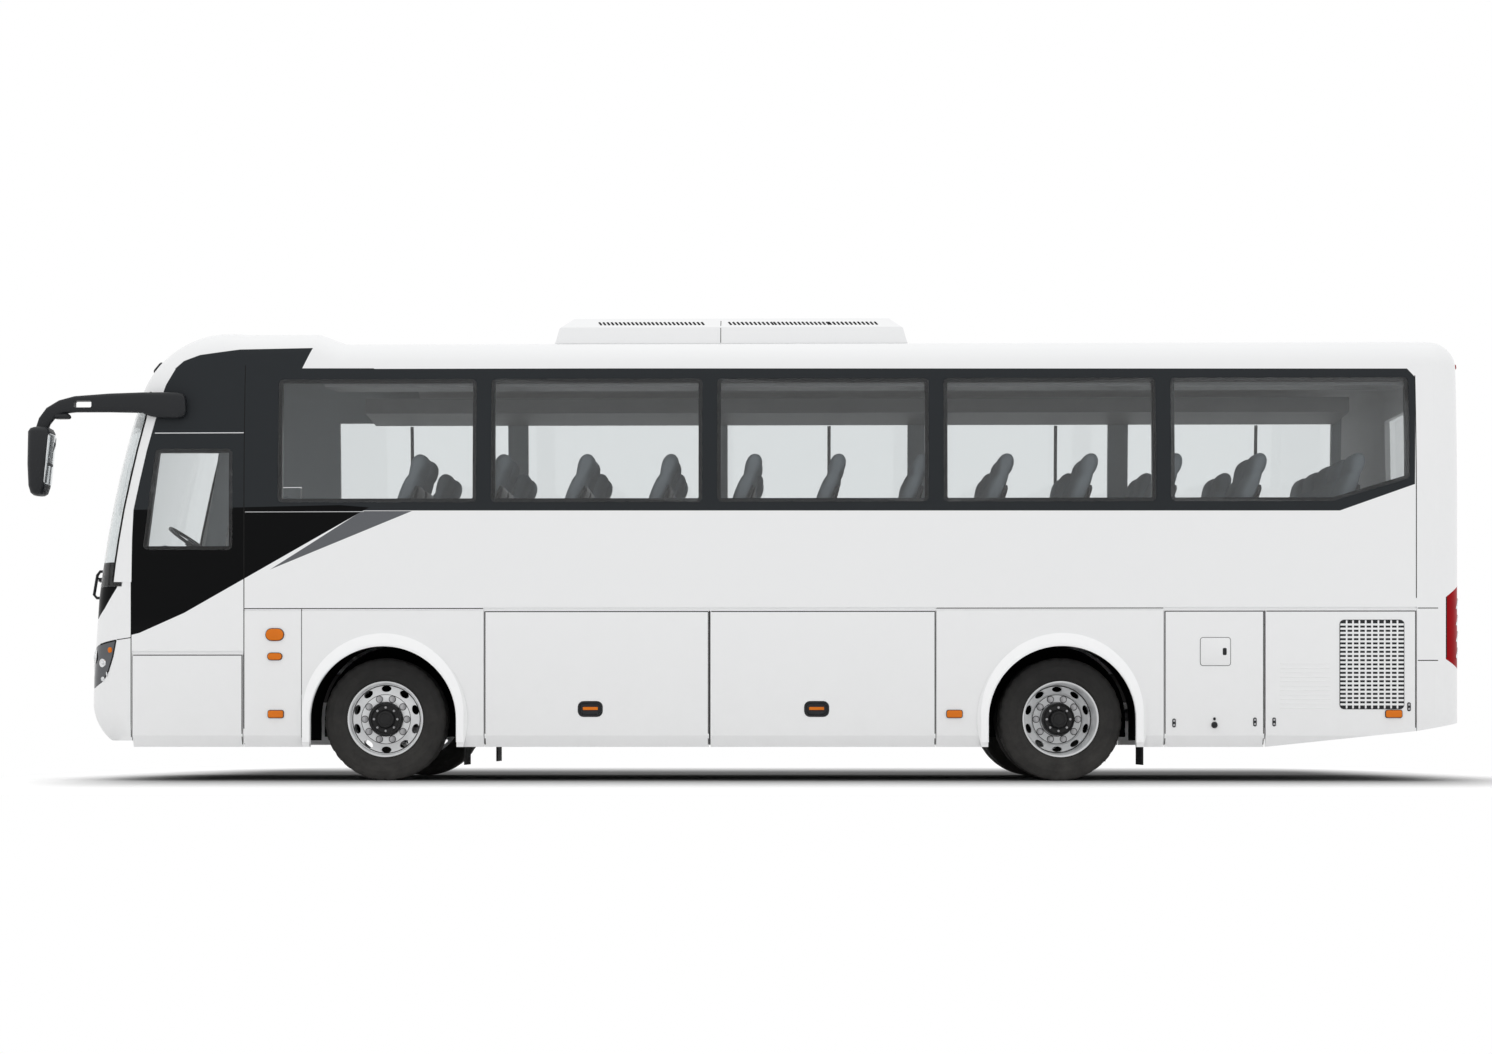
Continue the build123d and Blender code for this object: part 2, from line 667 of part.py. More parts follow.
# Fixed panels around the wheels, with raised arch lips
skirt_section = [
    (HALF, FLAP_Z + HINGE_RISE),
    (HALF, SKIRT_Z + TUCK_H),
    (HALF - TUCK_D, SKIRT_Z),
    (INNER, SKIRT_Z),
    (INNER, FLAP_Z + HINGE_RISE),
]
SEAM_W, SEAM_D = 6, 5
ARCH_SEAM_X = NOSE_X - 1823
skirt_rows = [(PILLAR_X[0], CAB_REAR_X, FRONT_AXLE_X), (PILLAR_X[3], PILLAR_X[2], REAR_AXLE_X)]


with BuildPart() as skirt_left:
    for panel_rear, panel_front, arch_x in skirt_rows:
        add(end_band(skirt_section, panel_rear, panel_front))
        with BuildSketch(across(arch_x, HALF + ARCH_LIP_T, AXLE_Z)):
            Circle(ARCH_R + ARCH_LIP)
        extrude(amount=2 * ARCH_LIP_T)
        with BuildSketch(across(arch_x, OUT_Y, AXLE_Z)):
            Circle(ARCH_R)
            with Locations((0, -ARCH_R)):
                Rectangle(2 * ARCH_R, 2 * ARCH_R)
        extrude(amount=OUT_Y - INNER + 10, mode=Mode.SUBTRACT)
        add(block((arch_x - 1000, arch_x + 1000), (INNER - 10, OUT_Y), (-600, SKIRT_Z)), mode=Mode.SUBTRACT)
        seam_z = (FLAP_Z - SEAM_W / 2, FLAP_Z + SEAM_W / 2)
        add(block((panel_rear, panel_front), (HALF - SEAM_D, OUT_Y), seam_z), mode=Mode.SUBTRACT)
    seam_x = (ARCH_SEAM_X - SEAM_W / 2, ARCH_SEAM_X + SEAM_W / 2)
    add(block(seam_x, (HALF - SEAM_D, OUT_Y), (SKIRT_Z, FLAP_Z)), mode=Mode.SUBTRACT)
keep(skirt_left.part, "skirt_left")
keep(mirror(skirt_left.part, about=Plane.XZ), "skirt_right")

# Floor of the saloon, stepping down to the platform behind the driver
DECK_FRONT_X = FRONT_AXLE_X + 700
DECK_END_X = TAIL_X + CORNER_R + 20
deck_outline = [
    (DECK_END_X, DECK_Z - DECK_T),
    (DECK_FRONT_X - STEP_T, DECK_Z - DECK_T),
    (DECK_FRONT_X - STEP_T, PLATFORM_Z - STEP_T),
    (CAB_REAR_X, PLATFORM_Z - STEP_T),
    (CAB_REAR_X, PLATFORM_Z),
    (DECK_FRONT_X, PLATFORM_Z),
    (DECK_FRONT_X, DECK_Z),
    (DECK_END_X, DECK_Z),
]
with BuildPart() as floor_deck:
    add(band(deck_outline, -INNER, INNER))
keep(floor_deck.part, "floor_deck")

# Underframe: luggage bay between two bulkheads, rails to the front and rear
RAIL_Y = (390, 470)
RAIL_Z = (640, 860)
BULKHEAD_T = 40
BAY_FLOOR_Z = (290, 330)
deck_low = DECK_Z - DECK_T
bay_front, bay_rear = PILLAR_X[0] + BULKHEAD_T, PILLAR_X[2] - BULKHEAD_T
RAIL_FRONT_X = NOSE_X - 520
RAIL_TAIL_X = TAIL_X + 420
CROSS_W = 80
cross_rows = [RAIL_FRONT_X - CROSS_W, CAB_REAR_X - 300, bay_rear - 300, RAIL_TAIL_X]
with BuildPart() as underframe:
    add(block((PILLAR_X[0], bay_front), (-INNER, INNER), (BAY_FLOOR_Z[0], deck_low)))
    add(block((bay_rear, PILLAR_X[2]), (-INNER, INNER), (BAY_FLOOR_Z[0], deck_low)))
    add(block((PILLAR_X[2], PILLAR_X[0]), (-INNER, INNER), BAY_FLOOR_Z))
    for rail_y in (RAIL_Y, (-RAIL_Y[1], -RAIL_Y[0])):
        add(block((bay_front, RAIL_FRONT_X), rail_y, RAIL_Z))
        add(block((RAIL_TAIL_X, bay_rear), rail_y, RAIL_Z))
        add(block((PILLAR_X[3] - CROSS_W, PILLAR_X[3]), rail_y, (RAIL_Z[1], deck_low)))
        add(block((RAIL_TAIL_X, RAIL_TAIL_X + CROSS_W), rail_y, (RAIL_Z[1], deck_low)))
    add(block((CAB_REAR_X - 300, CAB_REAR_X - 220), RAIL_Y, (RAIL_Z[1], PLATFORM_Z - STEP_T)))
    for cross_x in cross_rows:
        add(block((cross_x, cross_x + CROSS_W), (-RAIL_Y[0], RAIL_Y[0]), (RAIL_Z[0], RAIL_Z[0] + 120)))
keep(underframe.part, "underframe")

# Wheel housings
with BuildPart() as wheel_housings:
    for axle_x in (FRONT_AXLE_X, REAR_AXLE_X):
        for housing_y in (INNER, -LINER_Y):
            with BuildSketch(across(axle_x, housing_y, AXLE_Z)):
                Circle(LINER_R + LINER_T)
                with Locations((0, -LINER_R / 2)):
                    Rectangle(2 * (LINER_R + LINER_T), LINER_R)
                Circle(LINER_R, mode=Mode.SUBTRACT)
                with Locations((0, -LINER_R)):
                    Rectangle(2 * LINER_R, 2 * LINER_R, mode=Mode.SUBTRACT)
                with Locations((0, -1200)):
                    Rectangle(4 * LINER_R, 2 * (1200 - 170), mode=Mode.SUBTRACT)
            extrude(amount=INNER - LINER_Y)
keep(wheel_housings.part, "wheel_housings")

# Front axle: beam with a boss round each kingpin
BEAM_Z = (AXLE_Z - 60, AXLE_Z + 40)
BOSS_R = 48
with BuildPart() as front_axle:
    add(block((FRONT_AXLE_X - 50, FRONT_AXLE_X + 50), (-KINGPIN_Y, KINGPIN_Y), BEAM_Z))
    for pin_y in (-KINGPIN_Y, KINGPIN_Y):
        ends = [(FRONT_AXLE_X, pin_y, z) for z in BEAM_Z]
        side = 1 if pin_y > 0 else -1
        trim = sorted((pin_y, pin_y + side * 60))
        add(block((FRONT_AXLE_X - 60, FRONT_AXLE_X + 60), trim, BEAM_Z), mode=Mode.SUBTRACT)
        add(rod(*ends, BOSS_R))
        add(rod(*ends, KINGPIN_R + PIN_FIT), mode=Mode.SUBTRACT)
keep(front_axle.part, "front_axle")

# Steering knuckle: kingpin, fork, stub axle and the arm for the tie rod
LUG_GAP = 5
LUG_T = 36
FORK_Y = (BOSS_R + LUG_GAP, BOSS_R + LUG_GAP + 24)
STUB_END = 100
TIE_PIN_R = 12
TIE_BALL_R = 22
ARM_HALF = 22
low_lug = (BEAM_Z[0] - LUG_GAP - LUG_T, BEAM_Z[0] - LUG_GAP)
high_lug = (BEAM_Z[1] + LUG_GAP, BEAM_Z[1] + LUG_GAP + LUG_T)
tie_rod_z = low_lug[0] - TIE_ROD_R - 6
with BuildPart() as knuckle_left:
    centre = (FRONT_AXLE_X, KINGPIN_Y)
    add(rod((*centre, low_lug[0]), (*centre, high_lug[1]), KINGPIN_R))
    for lug in (low_lug, high_lug):
        add(block((FRONT_AXLE_X - 45, FRONT_AXLE_X + 45), (KINGPIN_Y - 45, KINGPIN_Y + FORK_Y[1]), lug))
    fork = (KINGPIN_Y + FORK_Y[0], KINGPIN_Y + FORK_Y[1])
    add(block((FRONT_AXLE_X - 45, FRONT_AXLE_X + 45), fork, (low_lug[0], high_lug[1])))
    add(rod((FRONT_AXLE_X, fork[1] - 5, AXLE_Z), (FRONT_AXLE_X, WHEEL_Y + STUB_END, AXLE_Z), SPINDLE_R))
    arm_x = (FRONT_AXLE_X - STEER_ARM - 24, FRONT_AXLE_X - 40)
    add(block(arm_x, (KINGPIN_Y - ARM_HALF, KINGPIN_Y + ARM_HALF), low_lug))
    tie_pin = (FRONT_AXLE_X - STEER_ARM, KINGPIN_Y)
    add(rod((*tie_pin, low_lug[0]), (*tie_pin, low_lug[1]), TIE_PIN_R + PIN_FIT), mode=Mode.SUBTRACT)
keep(knuckle_left.part, "knuckle_left")
keep(mirror(knuckle_left.part, about=Plane.XZ), "knuckle_right")

with BuildPart() as tie_rod:
    ends = [(FRONT_AXLE_X - STEER_ARM, pin_y) for pin_y in (-KINGPIN_Y, KINGPIN_Y)]
    add(rod(*[(*end, tie_rod_z) for end in ends], TIE_ROD_R))
    for end in ends:
        add(rod((*end, tie_rod_z - TIE_ROD_R - 4), (*end, tie_rod_z + TIE_ROD_R + 2), TIE_BALL_R))
        add(rod((*end, tie_rod_z), (*end, low_lug[1]), TIE_PIN_R))
keep(tie_rod.part, "tie_rod")


def turned(profile, x, y, side):
    """A round body turned about a wheel's axis; profile points are (radius, outward)."""
    with BuildPart() as ring:
        with BuildSketch(Plane((x, y, AXLE_Z), x_dir=(1, 0, 0), z_dir=(0, 0, 1))):
            Polygon(*[(r, side * out) for r, out in profile], align=None)
        revolve(axis=Axis((x, y, AXLE_Z), (0, 1, 0)))
    return ring.part


TYRE_FLATS = 48
BEAD_H = 12
SHOULDER_H = 45
bead, wide, tread = TYRE_W / 2 - 18, TYRE_W / 2, TYRE_W / 2 - 24
tyre_half = [(RIM_R + BEAD_H, bead), (TYRE_R - SHOULDER_H, wide), (TYRE_R, tread)]
tyre_profile = [(r, -out) for r, out in tyre_half] + tyre_half[::-1]


def flat_ring(profile, bore_r, x, y):
    """A tyre as a stack of many-sided rings with a flat below; profile points are (apothem, outward)."""

    def slice_at(out):
        return Plane((x, y + out, AXLE_Z), x_dir=(1, 0, 0), z_dir=(0, 1, 0))

    half_turn = 180 / TYRE_FLATS
    with BuildPart() as ring:
        for apothem, out in profile:
            with BuildSketch(slice_at(out)):
                RegularPolygon(apothem, TYRE_FLATS, major_radius=False, rotation=half_turn)
        loft(ruled=True)
        with BuildSketch(slice_at(profile[0][1])):
            RegularPolygon(bore_r, TYRE_FLATS, major_radius=False, rotation=half_turn)
        extrude(amount=profile[-1][1] - profile[0][1], mode=Mode.SUBTRACT)
    return ring.part


HUB_R = 120
front_rim = [
    (SPINDLE_R + SPINDLE_FIT, -80),
    (HUB_R, -80),
    (HUB_R, 52),
    (RIM_BORE_R, 52),
    (RIM_BORE_R, -bead),
    (RIM_R, -bead),
    (RIM_R, bead),
    (RIM_BORE_R, bead),
    (RIM_BORE_R, 68),
    (HUB_R, 68),
    (HUB_R - 10, STUB_END + 16),
    (0, STUB_END + 16),
    (0, STUB_END + 2),
    (SPINDLE_R + SPINDLE_FIT, STUB_END + 2),
]
TWIN_SPINDLE_R = 45
TWIN_HUB_R = 130
TWIN_END = 4
mid = -TWIN_PITCH / 2
far = -TWIN_PITCH - bead
twin_rim = [
    (TWIN_SPINDLE_R + SPINDLE_FIT, mid - 84),
    (TWIN_HUB_R, mid - 84),
    (TWIN_HUB_R, mid - 14),
    (RIM_BORE_R, mid - 14),
    (RIM_BORE_R, far),
    (RIM_R, far),
    (RIM_R, bead),
    (RIM_BORE_R, bead),
    (RIM_BORE_R, mid + 14),
    (TWIN_HUB_R, mid + 14),
    (TWIN_HUB_R - 10, TWIN_END + 16),
    (0, TWIN_END + 16),
    (0, TWIN_END + 2),
    (TWIN_SPINDLE_R + SPINDLE_FIT, TWIN_END + 2),
]
for hand, side in (("left", 1), ("right", -1)):
    with BuildPart() as tyre:
        add(flat_ring(tyre_profile, RIM_R + FIT, FRONT_AXLE_X, side * WHEEL_Y))
    keep(tyre.part, "tyre_front_" + hand)
    with BuildPart() as rim:
        add(turned(front_rim, FRONT_AXLE_X, side * WHEEL_Y, side))
    keep(rim.part, "rim_front_" + hand)
    with BuildPart() as twin_tyres:
        for tyre_y in (WHEEL_Y, WHEEL_Y - TWIN_PITCH):
            add(flat_ring(tyre_profile, RIM_R + FIT, REAR_AXLE_X, side * tyre_y))
    keep(twin_tyres.part, "tyres_rear_" + hand)
    with BuildPart() as twin_rims:
        add(turned(twin_rim, REAR_AXLE_X, side * WHEEL_Y, side))
    keep(twin_rims.part, "rims_rear_" + hand)

# Rear axle with its casing, and the beams that carry the air springs
AXLE_TUBE_R = 75
CASING_R = 190
BEAM_REACH = 420
tube_end = WHEEL_Y + mid - 84 - 6
with BuildPart() as rear_axle:
    add(rod((REAR_AXLE_X, -tube_end, AXLE_Z), (REAR_AXLE_X, tube_end, AXLE_Z), AXLE_TUBE_R))
    spindle_end = WHEEL_Y + TWIN_END
    add(rod((REAR_AXLE_X, -spindle_end, AXLE_Z), (REAR_AXLE_X, spindle_end, AXLE_Z), TWIN_SPINDLE_R))
    add(rod((REAR_AXLE_X, -130, AXLE_Z), (REAR_AXLE_X, 130, AXLE_Z), CASING_R))
    for beam_y in (RAIL_Y, (-RAIL_Y[1], -RAIL_Y[0])):
        add(block((REAR_AXLE_X - BEAM_REACH, REAR_AXLE_X + BEAM_REACH), beam_y, (AXLE_Z - 90, AXLE_Z)))
keep(rear_axle.part, "rear_axle")

# Air springs between the axles and the rails
SPRING_R = 105
spring_y = sum(RAIL_Y) / 2
spring_rows = [
    (FRONT_AXLE_X, BEAM_Z[1]),
    (REAR_AXLE_X - BEAM_REACH + SPRING_R, AXLE_Z),
    (REAR_AXLE_X + BEAM_REACH - SPRING_R, AXLE_Z),
]
with BuildPart() as air_springs:
    for spring_x, seat_z in spring_rows:
        for y in (-spring_y, spring_y):
            add(rod((spring_x, y, seat_z), (spring_x, y, RAIL_Z[0]), SPRING_R))
keep(air_springs.part, "air_springs")

# Engine, gearbox and propeller shaft between the rear rails
ENGINE_X = (TAIL_X + 520, TAIL_X + 1620)
GEARBOX_X = (TAIL_X + 1620, TAIL_X + 2250)
GEARBOX_R = 200
PROP_R = 50
drive_z = AXLE_Z + 40
with BuildPart() as powertrain:
    add(block(ENGINE_X, (-RAIL_Y[0], RAIL_Y[0]), (420, 1280)))
    add(rod((GEARBOX_X[0] - 5, 0, drive_z), (GEARBOX_X[1], 0, drive_z), GEARBOX_R))
    add(rod((GEARBOX_X[1] - 5, 0, drive_z), (REAR_AXLE_X - CASING_R + 8, 0, drive_z), PROP_R))
    add(rear_axle.part, mode=Mode.SUBTRACT)
keep(powertrain.part, "powertrain")

# Mudflaps hanging from the housings
with BuildPart() as mudflaps:
    for axle_x in (FRONT_AXLE_X, REAR_AXLE_X):
        flap_x = axle_x - LINER_R - LINER_T
        for y in ((880, INNER), (-INNER, -880)):
            add(block((flap_x - 12, flap_x), y, (125, 520)))
keep(mudflaps.part, "mudflaps")

# Roof air-conditioning unit
AC_X = (FRONT_AXLE_X - 4175, FRONT_AXLE_X - 1325)
AC_HALF = 900
AC_H = 240
ac_side = [
    (AC_X[0], ROOF_Z),
    (AC_X[0] + 40, ROOF_Z + 140),
    (AC_X[0] + 150, ROOF_Z + AC_H),
    (AC_X[1] - 150, ROOF_Z + AC_H),
    (AC_X[1] - 40, ROOF_Z + 140),
    (AC_X[1], ROOF_Z),
]
ac_end = [
    (AC_HALF, ROOF_Z),
    (AC_HALF - 15, ROOF_Z + 150),
    (AC_HALF - 130, ROOF_Z + AC_H),
    (130 - AC_HALF, ROOF_Z + AC_H),
    (15 - AC_HALF, ROOF_Z + 150),
    (-AC_HALF, ROOF_Z),
]
with BuildPart() as roof_unit:
    add(band(ac_side, -AC_HALF, AC_HALF) & end_band(ac_end, *AC_X))
keep(roof_unit.part, "roof_unit")

# Mirrors on long arms ahead of the screen corners
ARM_IN_Y, ARM_OUT_Y = HALF - 28, HALF + 55
mirror_arm = [
    (NOSE_X - 912, 2925),
    (NOSE_X - 895, 3080),
    (NOSE_X - 420, 3078),
    (NOSE_X - 20, 3048),
    (NOSE_X + 110, 3005),
    (NOSE_X + 215, 2925),
    (NOSE_X + 290, 2800),
    (NOSE_X + 190, 2800),
    (NOSE_X + 150, 2865),
    (NOSE_X + 60, 2918),
    (NOSE_X - 550, 2915),
    (NOSE_X - 610, 2865),
    (NOSE_X - 850, 2865),
]
ARM_SLOT_X = (NOSE_X - 165, NOSE_X - 25)
ARM_SLOT_Z = (2950, 3006)
HEAD_X = (NOSE_X + MIRROR_REACH - 185, NOSE_X + MIRROR_REACH)
HEAD_Y = (HALF - 90, HALF + 165)
HEAD_Z = (2255, 2800)
with BuildPart() as mirror_left:
    add(band(mirror_arm, ARM_IN_Y, ARM_OUT_Y))
    add(block(ARM_SLOT_X, (ARM_IN_Y, ARM_OUT_Y), ARM_SLOT_Z), mode=Mode.SUBTRACT)
    with BuildSketch(Plane.XY.offset(HEAD_Z[0])):
        with Locations((sum(HEAD_X) / 2, sum(HEAD_Y) / 2)):
            RectangleRounded(HEAD_X[1] - HEAD_X[0], HEAD_Y[1] - HEAD_Y[0], 60)
    extrude(amount=HEAD_Z[1] - HEAD_Z[0])
    add(outer, mode=Mode.SUBTRACT)
with BuildPart() as mirrors:
    add(both_sides(mirror_left.part))
keep(mirrors.part, "mirrors")

# Wipers lying along the foot of the screen: blade start and end, arm, in degrees round the bow
WIPER_Z = (1600, 1630)
WIPER_FOOT_Z = 1470
WIPER_T = 24
wiper_rows = [(2, 11, 6), (-9, 0, -5)]


def bowed(start, end, low, high, thick):
    """A strip that follows the bow of the front, from its surface outwards."""
    facing = (cos(radians(start)), sin(radians(start)), 0)
    with BuildPart() as strip:
        with BuildSketch(Plane((BOW_AXIS_X, 0, 0), x_dir=facing, z_dir=(facing[1], -facing[0], 0))):
            with Locations((BOW_R - 80 + thick / 2, (low + high) / 2)):
                Rectangle(thick + 60, high - low)
        revolve(axis=Axis((BOW_AXIS_X, 0, 0), (0, 0, 1)), revolution_arc=end - start)
    return strip.part


with BuildPart() as wipers:
    for blade_start, blade_end, arm in wiper_rows:
        add(bowed(blade_start, blade_end, *WIPER_Z, WIPER_T))
        add(bowed(arm, arm + 0.5, WIPER_FOOT_Z, WIPER_Z[1], 2 * WIPER_T))
    add(both_sides(outer), mode=Mode.SUBTRACT)
keep(wipers.part, "wipers")

# Dashboard with the steering column
DASH_X = (NOSE_X - 760, NOSE_X - 330)
WHEEL_CENTRE = (NOSE_X - 790, 560, 1930)
COLUMN_TILT = 35
column_dir = Vector(-sin(radians(COLUMN_TILT)), 0, cos(radians(COLUMN_TILT)))
COLUMN_R = 30
COLUMN_PIN_R = 12
dash_outline = [
    (DASH_X[0] + 260, PLATFORM_Z),
    (DASH_X[1] - 70, PLATFORM_Z),
    (DASH_X[1], 1560),
    (DASH_X[1] - 40, 1820),
    (DASH_X[0] + 60, 1880),
    (DASH_X[0], 1800),
    (DASH_X[0] + 160, 1560),
]


def along_column(distance):
    """A point on the steering column's axis, measured up from the wheel's centre."""
    return tuple(Vector(*WHEEL_CENTRE) + column_dir * distance)


with BuildPart() as dashboard:
    add(band(dash_outline, -280, 1080))
    add(rod(along_column(-420), along_column(-60), COLUMN_R))
    add(rod(along_column(-70), along_column(4), COLUMN_PIN_R))
keep(dashboard.part, "dashboard")

STEERING_R = 225
STEERING_GRIP = 15
HUB_H = 40
with BuildPart() as steering_wheel:
    across_column = (cos(radians(COLUMN_TILT)), 0, sin(radians(COLUMN_TILT)))
    wheel_plane = Plane(WHEEL_CENTRE, x_dir=across_column, z_dir=tuple(column_dir))
    with BuildSketch(Plane(WHEEL_CENTRE, x_dir=wheel_plane.x_dir, z_dir=(0, -1, 0))):
        with Locations((STEERING_R, 0)):
            RegularPolygon(STEERING_GRIP, 6)
    revolve(axis=Axis(WHEEL_CENTRE, tuple(column_dir)))
    for spoke in range(3):
        with BuildSketch(wheel_plane.offset(-8)):
            with PolarLocations(0, 1, start_angle=90 * spoke + 90):
                with Locations((STEERING_R / 2, 0)):
                    Rectangle(STEERING_R - 4, 34)
        extrude(amount=14)
    add(rod(along_column(-HUB_H), along_column(HUB_H / 2), 60))
    add(rod(along_column(-HUB_H - 5), along_column(6), COLUMN_PIN_R + PIN_FIT), mode=Mode.SUBTRACT)
keep(steering_wheel.part, "steering_wheel")

# Seats: one side profile, drawn from the foot of the seat's back leg
seat_profile = [
    (120, 300),
    (660, 300),
    (675, 420),
    (640, 450),
    (300, 420),
    (170, 880),
    (110, 1010),
    (75, 1170),
    (30, 1210),
    (-35, 1180),
    (-30, 1050),
    (80, 420),
]
SEAT_LEG = (240, 440)
SEAT_LEG_H = 300
SEAT_SPLIT = 40
SEAT_SPLIT_Z = 820
SEAT_LEAN = 260
SEAT_TOP = 1300


def bench(x, y_from, y_to, floor, places):
    """A row of seats with a gap between the backs, on one pedestal."""
    width = (y_to - y_from) / places
    with BuildPart() as row:
        add(band([(x + px, floor + pz) for px, pz in seat_profile], y_from, y_to))
        for place in range(1, places):
            gap = y_from + width * place
            split_y = (gap - SEAT_SPLIT / 2, gap + SEAT_SPLIT / 2)
            split_z = (floor + SEAT_SPLIT_Z, floor + SEAT_TOP)
            add(block((x - SEAT_LEAN, x + SEAT_LEAN), split_y, split_z), mode=Mode.SUBTRACT)
        middle = (y_from + y_to) / 2
        leg_x = (x + SEAT_LEG[0], x + SEAT_LEG[1])
        leg_y = (middle - width / 3, middle + width / 3)
        add(block(leg_x, leg_y, (floor, floor + SEAT_LEG_H)))
    return row.part


SEAT_PITCH = 671
SEAT_ROWS = 11
FIRST_SEAT_X = FRONT_AXLE_X - 246
SEAT_OUT_Y = INNER - 45
SEAT_WIDTH = 880
LAST_SEAT_X = FRONT_AXLE_X - 7740
with BuildPart() as seats:
    for row in range(SEAT_ROWS):
        row_x = FIRST_SEAT_X - SEAT_PITCH * row
        for y in ((SEAT_OUT_Y - SEAT_WIDTH, SEAT_OUT_Y), (-SEAT_OUT_Y, SEAT_WIDTH - SEAT_OUT_Y)):
            add(bench(row_x, *y, DECK_Z, 2))
    add(bench(LAST_SEAT_X, -SEAT_OUT_Y, SEAT_OUT_Y, DECK_Z, 5))
keep(seats.part, "seats")
DRIVER_SEAT_X = NOSE_X - 1560
with BuildPart() as driver_seat:
    add(bench(DRIVER_SEAT_X, WHEEL_CENTRE[1] - 250, WHEEL_CENTRE[1] + 250, PLATFORM_Z, 1))
keep(driver_seat.part, "driver_seat")

# Luggage racks under the roof edges
RACK_X = (REAR_CAP_X + 60, DOME_SEAM_X + 400)
RACK_Z = (3130, 3300)
rack_end = [
    (640, RACK_Z[0] + 40),
    (side_y(RACK_Z[0], WALL) - FIT, RACK_Z[0]),
    (side_y(RACK_Z[0] + 30, WALL) - FIT, RACK_Z[0] + 30),
    (680, RACK_Z[0] + 70),
    (680, RACK_Z[1]),
    (640, RACK_Z[1]),
]
with BuildPart() as luggage_racks:
    add(both_sides(end_band(rack_end, *RACK_X)))
keep(luggage_racks.part, "luggage_racks")

# Side marker lamps and repeaters: station from the front axle, height, length, depth of lens
lamp_rows = [
    (876, 1160, 142, 95),
    (876, 986, 110, 55),
    (876, 528, 126, 55),
    (-4530, 528, 126, 55),
]
LENS_T = 16
with BuildPart() as side_lamps:
    for lamp_x, lamp_z, lamp_w, lamp_h in lamp_rows:
        for y in (HALF, -HALF - LENS_T):
            x = FRONT_AXLE_X + lamp_x
            lens_x = (x - lamp_w / 2, x + lamp_w / 2)
            lens_z = (lamp_z - lamp_h / 2, lamp_z + lamp_h / 2)
            add(block(lens_x, (y, y + LENS_T), lens_z))
keep(side_lamps.part, "side_lamps")
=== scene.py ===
# %% [markdown]
# A touring midibus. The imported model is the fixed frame: every sheet of bodywork, every pane and every
# axle already has its true place in it, in metres, with +X forward, +Y to the driver's side and +Z up.
# This lesson dresses that frame. First comes the view, because everything else is judged through it,
# then the finishes, then the pieces that need finer shapes than the plain solids have.

# %% Load the frame
import json
from math import copysign, cos, pi, radians, sin, sqrt, tan

import bmesh
import bpy
from mathutils import Matrix, Vector

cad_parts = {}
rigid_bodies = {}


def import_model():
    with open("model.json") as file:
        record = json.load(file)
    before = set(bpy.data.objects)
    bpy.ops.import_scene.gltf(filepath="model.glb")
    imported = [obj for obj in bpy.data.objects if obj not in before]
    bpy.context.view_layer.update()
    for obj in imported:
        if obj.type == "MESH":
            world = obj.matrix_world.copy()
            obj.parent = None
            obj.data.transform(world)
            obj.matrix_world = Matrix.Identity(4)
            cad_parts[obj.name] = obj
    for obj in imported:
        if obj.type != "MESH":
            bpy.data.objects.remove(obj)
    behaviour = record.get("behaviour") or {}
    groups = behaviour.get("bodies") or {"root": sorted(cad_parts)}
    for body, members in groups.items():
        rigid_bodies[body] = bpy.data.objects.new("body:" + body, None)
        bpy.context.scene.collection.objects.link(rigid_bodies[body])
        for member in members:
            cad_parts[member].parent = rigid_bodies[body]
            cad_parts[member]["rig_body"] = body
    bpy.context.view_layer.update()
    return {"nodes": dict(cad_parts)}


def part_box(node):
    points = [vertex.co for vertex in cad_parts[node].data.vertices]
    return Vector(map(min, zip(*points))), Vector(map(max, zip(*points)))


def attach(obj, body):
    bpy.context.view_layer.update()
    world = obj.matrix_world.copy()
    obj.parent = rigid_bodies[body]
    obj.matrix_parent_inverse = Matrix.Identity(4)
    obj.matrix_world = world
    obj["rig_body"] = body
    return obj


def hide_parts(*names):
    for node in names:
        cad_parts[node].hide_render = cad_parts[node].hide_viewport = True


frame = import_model()
nodes = frame["nodes"]
scene = bpy.context.scene
scene.view_settings.view_transform = "Standard"

# %% [markdown]
# The photograph was taken square on from far away and low down, with the horizon near the hubs. A level
# camera with an upward shift keeps the bus's uprights upright, where tilting the camera would splay
# them.

# %% Camera
IMAGE_W, IMAGE_H = 1492, 1054
FOCAL_PX = 2278
CAMERA_DISTANCE = 18.0
CAMERA_HEIGHT = 0.402
CAMERA_X = -0.008
CAMERA_YAW = radians(0.78)
HORIZON_PX = 730
SIDE_Y = 1.25
camera_data = bpy.data.cameras.new("camera")
camera_data.sensor_width = 36
camera_data.lens = 36 * FOCAL_PX / IMAGE_W
camera_data.shift_y = (HORIZON_PX - IMAGE_H / 2) / IMAGE_W
camera_data.clip_end = 200
camera = bpy.data.objects.new("camera", camera_data)
camera.location = (CAMERA_X - CAMERA_DISTANCE * tan(CAMERA_YAW), SIDE_Y + CAMERA_DISTANCE, CAMERA_HEIGHT)
camera.rotation_euler = (pi / 2, 0, pi + CAMERA_YAW)
scene.collection.objects.link(camera)
scene.camera = camera
print("lens", round(camera_data.lens, 2), "mm, shift", round(camera_data.shift_y, 4))

# %% [markdown]
# Finishes share a few effects: the faint waviness of sprayed paint, road dust that thins out with
# height, and the fine grain of moulded plastic. Each is a node group, built once, that gives a mask or
# a height. A last one tells the lined inner face of a wall from its painted outer face, by the way the
# face looks.

# %% Node helpers
def new_material(name):
    """An empty material with its Principled shader, ready to be wired."""
    made = bpy.data.materials.new(name)
    made.use_nodes = True
    return made, made.node_tree, made.node_tree.nodes["Principled BSDF"]


def add_node(tree, kind, **settings):
    """A node with some of its properties set."""
    made = tree.nodes.new("ShaderNode" + kind)
    for key, value in settings.items():
        setattr(made, key, value)
    return made


def wire(tree, source, target):
    """Links two sockets, or sets a constant."""
    if isinstance(source, bpy.types.NodeSocket):
        tree.links.new(source, target)
    else:
        target.default_value = source


